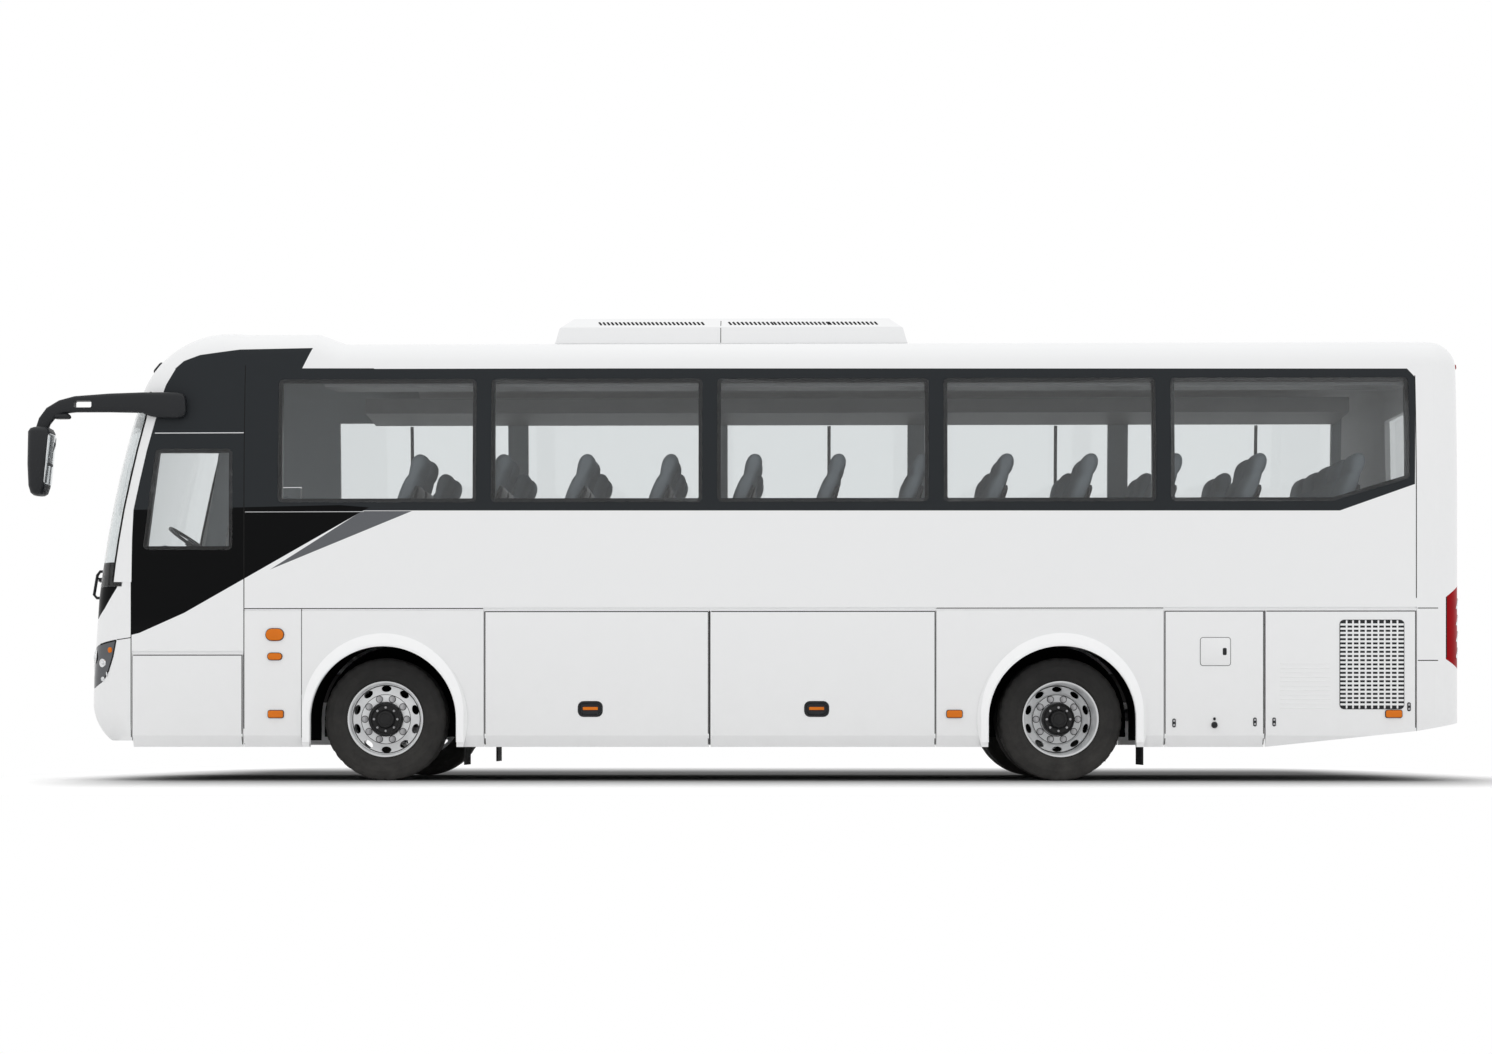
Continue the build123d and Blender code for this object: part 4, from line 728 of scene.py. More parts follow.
rear_face = [
    (0.2990, -0.397), (0.2990, 0.104), (0.3020, 0.110), (0.3010, 0.1145), (0.2960, 0.1155),
    (0.2895, 0.1120), (0.2850, 0.1040), (0.2800, 0.0600), (0.2770, 0.0400), (0.2770, -0.0600),
    (0.2720, DISH + 0.030), (0.2600, DISH + 0.012), (0.2400, DISH + 0.010), (0.2100, DISH + 0.018),
    (0.1950, DISH + 0.004), (0.1350, DISH + 0.004), (0.1330, -0.060), (0.1280, -0.012), (0.1180, -0.0080),
    (0.1120, -0.0220), (0.0780, -0.0230), (0.0740, 0.0000), (0.0640, 0.0160), (0.0480, 0.0190),
    (0.0440, 0.0150), (0.0, 0.0150),
]
rear_back = [
    (0.0, -0.2), (0.1300, -0.2), (0.1300, -0.175), (0.2600, -0.165), (0.2850, -0.170), (0.2850, -0.397),
]
HAND_HOLES, HOLE_ALONG = 10, 0.0400
NUTS, NUT_CIRCLE, NUT_SIZE, NUT_TALL = 10, 0.1675, 0.0185, 0.024
HUB_BOLTS, BOLT_CIRCLE, BOLT_SIZE, BOLT_TALL = 8, 0.0935, 0.0070, 0.009
NUT_STACK = ((16, 1.35, 1.25, 0.2, 0.1), (6, 1.0, 0.97, 1.0, 0.6), (12, 0.55, 0.5, 0.5, 1.3))
SHADE_THICK = 0.003
NUT_SHADE = [(0.0, -0.001), (0.0, 0.0006), (0.002, 0.001)]
rim_kinds = {
    "front": {
        "face": front_face, "back": front_back, "split": 18, "hole_circle": 0.2440, "hole_across": 0.0260,
        "nut_seat": 0.0845, "bolt_seat": 0.0955,
        "shades": [(0.2670, 0.2760, 0.0630), (0.1945, 0.1985, 0.0842), (0.1330, 0.1385, 0.0852)],
    },
    "rear": {
        "face": rear_face, "back": rear_back, "split": 16, "hole_circle": 0.2400, "hole_across": 0.0220,
        "nut_seat": DISH + 0.004, "bolt_seat": -0.0225,
        "shades": [
            (0.2640, 0.2715, DISH + 0.0300), (0.1945, 0.1990, DISH + 0.0075),
            (0.1335, 0.1390, DISH + 0.0055),
        ],
    },
}
print("rim profiles of", *(len(kind["face"] + kind["back"]) for kind in rim_kinds.values()), "points")


# %% Cutting and bolting
def on_circle(turn, radius, out=0.0):
    """A place on a circle about the axle, turned to face outwards from it."""
    return Matrix.Rotation(-turn, 4, "Y") @ Matrix.Translation((radius, out, 0))


def cut(bm, drill):
    """Cuts one bmesh out of another and gives the result."""
    made = []
    for name, shape in (("work", bm), ("cutter", drill)):
        mesh = bpy.data.meshes.new(name)
        shape.to_mesh(mesh)
        shape.free()
        made.append(bpy.data.objects.new(name, mesh))
        scene.collection.objects.link(made[-1])
    modifier = made[0].modifiers.new("cut", "BOOLEAN")
    modifier.operation = "DIFFERENCE"
    modifier.solver = "EXACT"
    modifier.object = made[1]
    result = bmesh.new()
    result.from_object(made[0], bpy.context.evaluated_depsgraph_get())
    for used in made:
        mesh = used.data
        bpy.data.objects.remove(used)
        bpy.data.meshes.remove(mesh)
    return result


def cut_holes(bm, count, radius, across, along):
    """Cuts oval hand holes through a turned disc and gives the new bmesh."""
    drill = bmesh.new()
    for hole in range(count):
        turn = 2 * pi * (hole + 0.5) / count
        made = bmesh.ops.create_cone(drill, cap_ends=True, segments=20, radius1=1, radius2=1, depth=0.5)
        shape = on_circle(turn, radius) @ Matrix.Rotation(pi / 2, 4, "X")
        shape = shape @ Matrix.Diagonal((across, along, 1, 1))
        bmesh.ops.transform(drill, matrix=shape, verts=made["verts"])
    return cut(bm, drill)


def ring_of_nuts(bm, count, radius, seat, size, tall):
    """Adds wheel nuts with their washers on a circle."""
    for nut in range(count):
        turn = 2 * pi * nut / count
        spin = on_circle(turn, radius, seat) @ Matrix.Rotation(-pi / 2, 4, "X")
        for sides, r0, r1, depth, lift in NUT_STACK:
            made = bmesh.ops.create_cone(
                bm, cap_ends=True, segments=sides, radius1=size * r0, radius2=size * r1, depth=tall * depth
            )["verts"]
            bmesh.ops.transform(bm, matrix=spin @ Matrix.Translation((0, 0, tall * lift)), verts=made)


print("cutters ready for", HAND_HOLES, "hand holes a rim")

# %% Rims
hub_paint = plain_finish("hub_black", (0.008, 0.008, 0.0085, 1), 0.5, shine=0.3)
for place, tyre_node, rim_node, body, side in wheel_rows:
    kind = rim_kinds[place.split("_")[0]]
    face, back, split = kind["face"], kind["back"], kind["split"]
    seat = wheel_place(tyre_node, tyre_widths(tyre_node, side)[0])
    seat = seat @ (Matrix.Identity(4) if side > 0 else Matrix.Rotation(pi, 4, "Z"))
    disc = turned(face[: split + 1] + [(face[split][0], back[0][1])] + back[1:], 96)
    disc = cut_holes(disc, HAND_HOLES, kind["hole_circle"], kind["hole_across"], HOLE_ALONG)
    piece("rim_" + place, disc, rim_paint, body, stands_for=[rim_node], at=seat)
    hub_foot = back[0][1] + 0.002
    hub = turned(face[split:] + [(0.0, hub_foot), (face[split][0] - 0.001, hub_foot)], 64)
    piece("hub_" + place, hub, hub_paint, body, at=seat)
    nuts = bmesh.new()
    ring_of_nuts(nuts, NUTS, NUT_CIRCLE, kind["nut_seat"], NUT_SIZE, NUT_TALL)
    ring_of_nuts(nuts, HUB_BOLTS, BOLT_CIRCLE, kind["bolt_seat"], BOLT_SIZE, BOLT_TALL)
    piece("nuts_" + place, nuts, bare_steel, body, at=seat)
    # Painted shade: thin dark rings in the rim's grooves and dark discs under the nuts, where shade falls.
    shades = bmesh.new()
    for inner, outer, out in kind["shades"]:
        foot = out - SHADE_THICK
        merge(shades, turned([(inner, foot), (outer, foot), (outer, out), (inner, out)], 64))
    for nut in range(NUTS):
        spot = on_circle(2 * pi * nut / NUTS, NUT_CIRCLE, kind["nut_seat"])
        pad(shades, spot, (0.058, 0.058), 0.0289, NUT_SHADE)
    piece("rim_painted_shade_" + place, shades, hub_paint, body, at=seat)
print("four rims with", HAND_HOLES, "hand holes and", NUTS, "nuts each")

# %% [markdown]
# Handles, locks, lamps and grilles sit on the bodywork, so each is placed by shooting a ray at the
# panel that carries it. Drawing them as stacks of rounded loops, each drawn in and set out a little,
# gives soft edges that catch the light, which a plain block would not.

# %% Seating helpers
SIDES = (("left", 1), ("right", -1))


def seat_on(node, start, toward):
    """The spot where a ray meets a node, as a matrix: y points out of the surface and z up along it."""
    hit, point, normal, _ = nodes[node].ray_cast(Vector(start), Vector(toward))
    if not hit:
        raise ValueError(f"no surface of {node} from {start}")
    up = (Vector((0, 0, 1)) - normal * normal.z).normalized()
    seat = Matrix((normal.cross(up), normal, up)).transposed().to_4x4()
    seat.translation = point
    return seat


def facing(point, out, up):
    """A seat matrix at a point, from its outward and upward directions."""
    out, up = Vector(out).normalized(), Vector(up).normalized()
    made = Matrix((out.cross(up), out, up)).transposed().to_4x4()
    made.translation = Vector(point)
    return made


def on_side(node, place, side=1):
    """A seat on a side panel for a place given as forward and up."""
    return seat_on(node, (place[0], side * 3, place[1]), (0, -side, 0))


def strip(bm, seats, width, thick):
    """Adds a narrow bead that follows a row of seats, such as a trim line or a sealed joint."""
    loops = []
    for index, seat in enumerate(seats):
        before, after = seats[max(index - 1, 0)], seats[min(index + 1, len(seats) - 1)]
        along = (after.translation - before.translation).normalized()
        out = seat.to_3x3() @ Vector((0, 1, 0))
        wide = along.cross(out).normalized() * (width / 2)
        corners = ((-1, -0.5), (1, -0.5), (0.7, 1), (-0.7, 1))
        loops.append([bm.verts.new(seat.translation + wide * a + out * (thick * b)) for a, b in corners])
    skin(bm, loops)


print("seats can be found on", len(SIDES), "sides")

# %% Luggage handles and locks
HANDLE = (0.190, 0.118)
HANDLE_AHEAD, HANDLE_UP = 0.050, 0.568
TRAY = [
    (0.001, -0.0132), (0.001, 0.0), (-0.004, 0.0004), (-0.004, 0.002), (0.002, 0.0035), (0.011, 0.002),
    (0.015, -0.0105),
]
GRIP = [(0.0, -0.0115), (0.0, -0.003), (0.006, 0.0005)]
REFLECTOR = [(0.0, -0.0115), (0.0, -0.0055), (0.002, -0.004)]
LOCK = [(0.0, -0.001), (0.0, 0.003), (0.003, 0.0045)]
BARREL = [(0.0, 0.002), (0.0, 0.0075), (0.003, 0.009)]
lock_rows = [
    ("service_door", 1172, 723), ("service_door", 1252, 722), ("engine_door", 1271, 722),
    ("engine_door", 1404, 707),
]
for hand, side in SIDES:
    for door in ("luggage_door_front_", "luggage_door_rear_"):
        node = door + hand
        low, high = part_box(node)
        seat = Matrix.Translation(((low[0] + high[0]) / 2 + HANDLE_AHEAD, side * SIDE_Y, HANDLE_UP))
        seat = seat @ Matrix.Diagonal((1, side, 1, 1))
        cup = bmesh.new()
        pad(cup, seat, HANDLE, 0.042, TRAY)
        pad(cup, seat, (0.120, 0.030), 0.012, GRIP, at=(0, -0.031))
        piece("handle_" + node, cup, black_plastic, body_of(node))
        strip_lens = bmesh.new()
        pad(strip_lens, seat, (0.118, 0.024), 0.004, REFLECTOR, at=(0, 0.004))
        piece("reflector_" + node, strip_lens, amber_lens, body_of(node))
    for door in ("service_door_", "engine_door_"):
        plates, barrels = bmesh.new(), bmesh.new()
        for row_door, x, y in lock_rows:
            if door.startswith(row_door):
                seat = on_side(door + hand, px(x, y), side)
                pad(plates, seat, (0.028, 0.070), 0.013, LOCK)
                for up in (-0.017, 0.017):
                    pad(barrels, seat, (0.018, 0.018), 0.0088, BARREL, at=(0, up))
        piece("locks_" + door + hand, plates, black_plastic, body_of(door + hand))
        piece("barrels_" + door + hand, barrels, bare_steel, body_of(door + hand))
knob = bmesh.new()
seat = on_side("service_door_left", px(1212, 725))
pad(knob, seat, (0.050, 0.052), 0.024, [(0.0, -0.001), (0.0, 0.006), (0.006, 0.020), (0.014, 0.023)])
pad(knob, seat, (0.020, 0.024), 0.009, [(0.0, -0.001), (0.0, 0.006), (0.004, 0.009)], at=(0, 0.048))
piece("service_knob", knob, black_plastic, body_of("service_door_left"))
print("handles, reflectors and locks on eight doors")

# %% [markdown]
# The fuel flap is a small lid in the service door, and the engine door breathes through a grille. Both
# are thin things on a flat panel, so they are laid on as raised pads: a dark backing first, then the lid
# or the bars. Behind the grille's bars the dark backing is painted shade in place of the openings, since
# cutting real openings would ask for an engine bay behind them that nobody sees.

# %% Fuel flap
flap_seat = on_side("service_door_left", px(1213, 652))
gasket, flap, catch = bmesh.new(), bmesh.new(), bmesh.new()
pad(gasket, flap_seat, (0.242, 0.226), 0.023, [(0.0, -0.001), (0.0, 0.0012)])
pad(flap, flap_seat, (0.234, 0.218), 0.020, [(0.0, 0.0), (0.0, 0.0025), (0.003, 0.0042)])
pad(catch, flap_seat, (0.030, 0.056), 0.009, [(0.0, 0.003), (0.0, 0.007), (0.005, 0.009)], at=(-0.072, 0))
for name, bm, finish, slot in (
    ("fuel_gasket", gasket, soft_rubber, "rubber"),
    ("fuel_flap", flap, white_paint, "white_paint"),
    ("fuel_catch", catch, black_plastic, "black_plastic"),
):
    piece(name, bm, finish, body_of("service_door_left"))
print("fuel flap at", [round(v, 3) for v in flap_seat.translation])

# %% Engine grille and louvres
GRILLE = (0.498, 0.695)
GRILLE_ROWS, GRILLE_COLUMNS = 21, 10
GRILLE_SPOT = (-4.936, 0.918)
louvre_spot = px(1302, 686)
LOUVRE_ROWS, LOUVRE_PITCH = 11, 0.035
SHADE_BACKING = [(0.0, 0.0003), (0.0, 0.002), (0.003, 0.0035)]
BAR_ACROSS = [(0.0, 0.002), (0.0, 0.007), (0.003, 0.009)]
BAR_UP = [(0.0, 0.002), (0.0, 0.0065), (0.003, 0.0085)]
RIB = [(0.0, -0.0005), (0.0, 0.0005), (0.004, 0.0022)]
for hand, side in SIDES:
    node = "engine_door_" + hand
    seat = Matrix.Translation((GRILLE_SPOT[0], side * SIDE_Y, GRILLE_SPOT[1]))
    seat = seat @ Matrix.Diagonal((1, side, 1, 1))
    # Painted shade: the black backing behind the grille's bars stands in for the dark openings.
    shade_backing, bars = bmesh.new(), bmesh.new()
    pad(shade_backing, seat, (GRILLE[0] + 0.010, GRILLE[1] + 0.010), 0.035, SHADE_BACKING)
    for row in range(1, GRILLE_ROWS):
        up = GRILLE[1] * (row / GRILLE_ROWS - 0.5)
        pad(bars, seat, (GRILLE[0], 0.0165), 0.004, BAR_ACROSS, at=(0, up))
    for column in range(1, GRILLE_COLUMNS):
        ahead = GRILLE[0] * (column / GRILLE_COLUMNS - 0.5)
        pad(bars, seat, (0.013, GRILLE[1]), 0.004, BAR_UP, at=(ahead, 0))
    for row in range(LOUVRE_ROWS):
        up = louvre_spot[1] + LOUVRE_PITCH * (row - LOUVRE_ROWS // 2)
        rib = on_side(node, (louvre_spot[0], up), side)
        pad(bars, rib, (0.400, 0.011), 0.004, RIB)
    piece("grille_shade_back_" + hand, shade_backing, black_plastic, body_of(node))
    piece("grille_bars_" + hand, bars, white_paint, body_of(node))
print("two grilles with", GRILLE_ROWS, "rows of", GRILLE_COLUMNS, "slots")

# %% [markdown]
# Amber lamps mark the bus's length. Each is a domed lens on a dark base, and those on the engine doors
# are pieces of their own because they swing up with their doors.

# %% Side lamps
LENS = [(0.0, 0.003), (0.0, 0.012), (0.004, 0.0165), (0.012, 0.018)]
LAMP_BASE = [(0.0, -0.001), (0.0, 0.006), (0.003, 0.008)]
side_lamp_rows = [
    ("skirt_", 272, 634, 0.140, 0.092, 0.0455),
    ("skirt_", 272, 656, 0.112, 0.052, 0.0255),
    ("skirt_", 273, 714, 0.120, 0.056, 0.014),
    ("skirt_", 954, 714, 0.120, 0.056, 0.014),
    ("engine_door_", 1389, 714, 0.126, 0.056, 0.014),
]
fixed_lenses, fixed_bases = bmesh.new(), bmesh.new()
for hand, side in SIDES:
    for carrier, x, y, width, tall, radius in side_lamp_rows:
        seat = on_side(carrier + hand, px(x, y), side)
        fixed = carrier == "skirt_"
        lens, base = (fixed_lenses, fixed_bases) if fixed else (bmesh.new(), bmesh.new())
        pad(lens, seat, (width, tall), radius, LENS)
        pad(base, seat, (width + 0.010, tall + 0.010), radius + 0.004, LAMP_BASE)
        if not fixed:
            piece("engine_lamp_" + hand, lens, amber_lens, body_of(carrier + hand))
            piece("engine_lamp_base_" + hand, base, black_plastic, body_of(carrier + hand))
piece("side_lamp_lenses", fixed_lenses, amber_lens, "body", stands_for=["side_lamps"])
piece("side_lamp_bases", fixed_bases, black_plastic, "body")
print(len(side_lamp_rows), "amber lamps a side")

# %% [markdown]
# The joints between body panels are sealed, and a dark line shows there. A bead is laid along each one
# by casting rays at whatever panel lies under it, so it follows the body's bulge. Bright trim is laid
# the same way, and so are the seals on the edges of the flaps, which ride on the flaps.

# %% Sealed joints and trim
def along_side(names, start, end, side, steps=24):
    """Seats along a line on the side, each on the outermost of some nodes."""
    seats = []
    for step in range(steps + 1):
        x, z = (a + (b - a) * step / steps for a, b in zip(start, end))
        best = None
        for name in names:
            hit = nodes[name].ray_cast(Vector((x, side * 3, z)), Vector((0, -side, 0)))
            if hit[0] and (best is None or abs(hit[1].y) > abs(best.translation.y)):
                best = on_side(name, (x, z), side)
        if best is not None:
            seats.append(best)
    return seats


def carriers(names, hand):
    """The nodes of a row of names; one that ends in _ is the left or right one of a pair."""
    return [name + hand if name.endswith("_") else name for name in names.split()]


JOINT_W, JOINT_T, TRIM_T = 0.008, 0.0007, 0.002
joint_rows = [
    ("side_wall_ skirt_ front_cap", (3.972, 3.30), (3.972, 0.29)),
    ("front_cap front_bumper", (4.870, 1.585), (4.870, 0.345)),
    ("front_cap", (4.870, 1.583), (4.985, 1.583)),
    ("front_bumper", (4.870, 1.135), (4.985, 1.118)),
    ("skirt_ side_wall_", (3.972, 1.364), (2.072, 1.364)),
    ("skirt_ side_wall_", (-1.512, 1.364), (-3.298, 1.364)),
    ("skirt_", (3.514, 1.360), (3.514, 0.30)),
    ("side_wall_", (-5.285, 3.20), (-5.285, 1.37)),
    ("rear_cap", (-5.296, 1.362), (-5.455, 1.362)),
    ("rear_cap", (-5.296, 0.950), (-5.455, 0.950)),
]
trim_rows = [
    ("cab_wall_ front_cap side_wall_", (150, 430.5), (240, 430.5), 0.010),
    ("side_wall_", (242, 510.5), (362, 510.5), 0.006),
]
flap_rows = [
    ("cab_flap_", "top aft"),
    ("luggage_door_front_", "top fore aft"),
    ("luggage_door_rear_", "top aft"),
    ("service_door_", "top fore aft"),
    ("engine_door_", "top aft"),
]
EDGE_IN, HINGE_LAP, FOOT_IN = 0.005, 0.017, 0.02
joints, trims = bmesh.new(), bmesh.new()
for hand, side in SIDES:
    for names, start, end in joint_rows:
        strip(joints, along_side(carriers(names, hand), start, end, side), JOINT_W, JOINT_T)
    for names, start, end, width in trim_rows:
        strip(trims, along_side(carriers(names, hand), px(*start), px(*end), side), width, TRIM_T)
    for door, edges in flap_rows:
        node = door + hand
        if node not in nodes:
            continue
        low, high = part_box(node)
        aft, fore = low[0] + EDGE_IN, high[0] - EDGE_IN
        top, foot = high[2] - HINGE_LAP - EDGE_IN, low[2] + FOOT_IN
        lines = {"top": ((aft, top), (fore, top))}
        lines.update({name: ((x, top), (x, foot)) for name, x in (("fore", fore), ("aft", aft))})
        edge = bmesh.new()
        for name in edges.split():
            strip(edge, along_side([node], *lines[name], side), JOINT_W, JOINT_T)
        piece("edge_seal_" + node, edge, soft_rubber, body_of(node))
piece("sealed_joints", joints, soft_rubber, "body")
bright_trim = plain_finish("bright_trim", (0.72, 0.73, 0.74, 1), 0.25, metallic=0.8)
piece("bright_trim", trims, bright_trim, "body")
print("sealed joints", len(joint_rows), "a side")

# %% [markdown]
# Each wheel opening has a moulded lip that swells towards its edge and catches the light. It is one
# crowned section swept round the opening, in a white brighter than the body's, which is a painted
# highlight. Behind the wheel a dark wall closes the housing off, with a cut-out over the axle and the
# steering rod, which need their room.

# %% Arch lips and housing walls
ARCH_R, LIP_WIDE, LIP_SPREAD, LIP_FOOT = 0.584, 0.056, 0.040, 0.305
FRONT_AXLE_X, REAR_AXLE_X, WHEEL_Z = 2.867, -2.503, 0.488
AXLES = ((FRONT_AXLE_X, 0.10, 0.27), (REAR_AXLE_X, 0.42, 0.42))
lip_section = [
    (-0.07, -0.006), (-0.07, 0.012), (0.05, 0.0175), (0.20, 0.0185), (0.40, 0.0170), (0.62, 0.0145),
    (0.84, 0.0120), (1.0, 0.0098), (1.0, -0.006),
]
WALL_Y, WALL_THICK, WALL_R = 0.556, 0.004, 0.600
WALL_FOOT, NOTCH_TOP = 0.345, 0.70
LIP_STEPS, WALL_STEPS = 40, 24
spine = [(cos(pi * step / LIP_STEPS), sin(pi * step / LIP_STEPS), 0.0) for step in range(LIP_STEPS + 1)]
spine = [(1, 0, LIP_FOOT - WHEEL_Z)] + spine + [(-1, 0, LIP_FOOT - WHEEL_Z)]
half_turn = [(cos(pi * step / WALL_STEPS), sin(pi * step / WALL_STEPS)) for step in range(WALL_STEPS + 1)]
lips, walls = bmesh.new(), bmesh.new()
for hand, side in SIDES:
    for axle_x, notch_fore, notch_aft in AXLES:
        loops = []
        for ahead, up, drop in spine:
            loop = []
            for out_r, out_y in lip_section:
                r = ARCH_R + out_r * (LIP_WIDE + LIP_SPREAD * up)
                place = (axle_x + r * ahead, side * (SIDE_Y + out_y), WHEEL_Z + r * up + drop)
                loop.append(lips.verts.new(place))
            loops.append(loop)
        skin(lips, loops)
        outline = [(WALL_R * ahead, WHEEL_Z + WALL_R * up) for ahead, up in half_turn]
        outline += [(-WALL_R, WALL_FOOT), (-notch_aft, WALL_FOOT), (-notch_aft, NOTCH_TOP)]
        outline += [(notch_fore, NOTCH_TOP), (notch_fore, WALL_FOOT), (WALL_R, WALL_FOOT)]
        sheets = []
        for out in (WALL_Y, WALL_Y + WALL_THICK):
            sheets.append([walls.verts.new((axle_x + x, side * out, z)) for x, z in outline])
        skin(walls, sheets)
bmesh.ops.triangulate(walls, faces=[face for face in walls.faces if len(face.verts) > 4])
# Painted highlight: the lip's white is brighter than the body's white.
lip_highlight_paint = paint("lip_white_highlight", (0.97, 0.975, 0.98, 1), dusty=0.03)
piece("arch_lips", lips, lip_highlight_paint, "body", crease=60)
piece("housing_walls", walls, housing_black, "body")
print("four arch lips and housing walls")

# %% [markdown]
# The cooling unit on the roof blows through rows of leaning slots, and a dark seal runs along its foot
# on the roof, whose dark band also paints the shadow in the gap under the unit. The slots are thin dark
# pads on the flank that paint the shade inside the openings: real cuts would show nothing more at this
# size.

# %% Roof unit slots
unit_low, unit_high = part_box("roof_unit")
slot_groups = [(596, 646), (650, 701), (729, 772), (775, 829), (831, 878)]
SLOT_PITCH, SLOT_LEAN, SLOT_DOWN = 0.034, radians(24), 0.052
SEAL_SHADE_TALL, SEAL_SHADE_PROUD = 0.016, 0.002
# Painted shade: dark pads stand for the shade inside the slot openings.
unit_slots = bmesh.new()
for hand, side in SIDES:
    for first, last in slot_groups:
        ahead, behind = px(first, 0)[0], px(last, 0)[0]
        count = round((ahead - behind) / SLOT_PITCH)
        for index in range(count + 1):
            x = ahead + (behind - ahead) * index / count
            seat = seat_on("roof_unit", (x, side * 3, unit_high[2] - SLOT_DOWN), (0, -side, 0))
            seat = seat @ Matrix.Rotation(side * SLOT_LEAN, 4, "Y")
            pad(unit_slots, seat, (0.017, 0.056), 0.006, [(0.0, -0.001), (0.0, 0.0012)])
piece("roof_unit_slots", unit_slots, soft_rubber, "body")
# A dark seal along the unit's foot that also paints the shadow in the gap under it, and the dark joint up
# its flank.
gap = bmesh.new()
seal_shade_low = (unit_low[0], unit_low[1] - SEAL_SHADE_PROUD, unit_low[2])
seal_shade_high = (unit_high[0], unit_high[1] + SEAL_SHADE_PROUD, unit_low[2] + SEAL_SHADE_TALL)
bar(gap, seal_shade_low, seal_shade_high, 0.002)
seam_x = px(719.6, 0)[0]
for side in (1, -1):
    rise = [unit_low[2] + (unit_high[2] - unit_low[2]) * (0.1 + 0.8 * step / 8) for step in range(9)]
    strip(gap, [seat_on("roof_unit", (seam_x, side * 3, z), (0, -side, 0)) for z in rise], 0.006, 0.001)
piece("roof_unit_seal_and_gap_shade", gap, soft_rubber, "body")
print("roof unit slots", len(slot_groups), "groups a side")

# %% [markdown]
# The mirrors hang far out on curved arms. An arm is a row of rounded sections swept along its centre
# line, which reads as one moulding, and its slot is cut through afterwards. The head is a stack of
# rounded slices that leans and narrows towards its foot, with the glass let into its rear face.

# %% Mirrors
NOSE_X = 5.337
ARM_Y = 1.264
arm_rows = [
    (-0.908, 2.975, 0.060, 0.030), (-0.890, 2.974, 0.092, 0.037), (-0.840, 2.973, 0.104, 0.040),
    (-0.700, 2.976, 0.102, 0.041), (-0.640, 2.982, 0.096, 0.040), (-0.560, 2.996, 0.081, 0.038),
    (-0.300, 2.994, 0.074, 0.036), (-0.030, 2.984, 0.064, 0.036), (0.080, 2.962, 0.056, 0.035),
    (0.165, 2.915, 0.052, 0.034), (0.215, 2.850, 0.050, 0.033), (0.236, 2.790, 0.048, 0.032),
]
head_rows = [
    (2.796, 0.175, 0.285, 0.13), (2.784, 0.155, 0.305, 0.20), (2.755, 0.145, 0.317, 0.235),
    (2.500, 0.166, 0.320, 0.245), (2.330, 0.186, 0.314, 0.235), (2.275, 0.200, 0.302, 0.205),
    (2.258, 0.216, 0.286, 0.14),
]
HEAD_Y = 1.2875


def swept(bm, rows, y, side, sides=16):
    """Adds rounded sections along a line; a row is (ahead of the nose, up, half height, half width)."""
    loops = []
    for index, (ahead, up, tall, wide) in enumerate(rows):
        first, last = rows[max(index - 1, 0)], rows[min(index + 1, len(rows) - 1)]
        run = Vector((last[0] - first[0], 0, last[1] - first[1])).normalized()
        over = Vector((-run.z, 0, run.x))
        loop = []
        for step in range(sides):
            turn = 2 * pi * (step + 0.5) / sides
            a, b = (abs(v) ** 0.6 * (1 if v > 0 else -1) for v in (cos(turn), sin(turn)))
            middle = Vector((NOSE_X + ahead, side * y, up))
            loop.append(bm.verts.new(middle + over * (tall * b) + Vector((0, side * wide * a, 0))))
        loops.append(loop)
    skin(bm, loops)


mirror_glass = plain_finish(
    "mirror_glass", (0.78, 0.80, 0.81, 1), 0.04, metallic=1.0, bump=0.0, spread=0.05
)
ARM_KNUCKLE = [(0.03, -0.002), (0.004, 0.02), (0.0, 0.034), (0.008, 0.046), (0.02, 0.048)]
arms, glasses = bmesh.new(), bmesh.new()
for hand, side in SIDES:
    arm = bmesh.new()
    swept(arm, arm_rows, ARM_Y, side)
    drill = bmesh.new()
    slot_low = (NOSE_X - 0.165, side * ARM_Y - 0.2, 2.955)
    bar(drill, slot_low, (NOSE_X - 0.025, side * ARM_Y + 0.2, 3.008), 0.012)
    arm = cut(arm, drill)
    loops = []
    for z, rear, front, wide in head_rows:
        outline = rounded(front - rear, wide, 0.05 if wide > 0.15 else 0.04)
        middle = Vector((NOSE_X + (front + rear) / 2, side * HEAD_Y, z))
        loops.append([arm.verts.new(middle + Vector((a, side * b, 0))) for a, b in outline])
    skin(arm, loops)
    down = Matrix.Translation((NOSE_X + 0.075, side * ARM_Y, 2.915)) @ Matrix.Rotation(-pi / 2, 4, "X")
    pad(arm, down, (0.140, 0.086), 0.042, ARM_KNUCKLE)
    merge(arms, arm)
    lean = Vector((0.186 - 0.145, 0, 2.330 - 2.755)).normalized()
    out = Vector((lean.z, 0, -lean.x))
    seat = Matrix((out.cross(-lean), out, -lean)).transposed().to_4x4()
    seat.translation = Vector((NOSE_X + 0.1655, side * HEAD_Y, 2.5425))
    pad(glasses, seat, (0.190, 0.400), 0.030, [(0.0, -0.004), (0.0, 0.0022), (0.003, 0.0034)])
piece("mirror_housings", arms, black_plastic, "body", stands_for=["mirrors"], crease=50)
piece("mirror_glasses", glasses, mirror_glass, "body")
print("two mirrors")

# %% [markdown]
# Lamps are what a viewer looks at first from the front. The corner lamps keep the solid's cover and get
# round reflectors with bulbs, set into its surface, and a dark seal. The tail lamps get pale reflector
# bars.

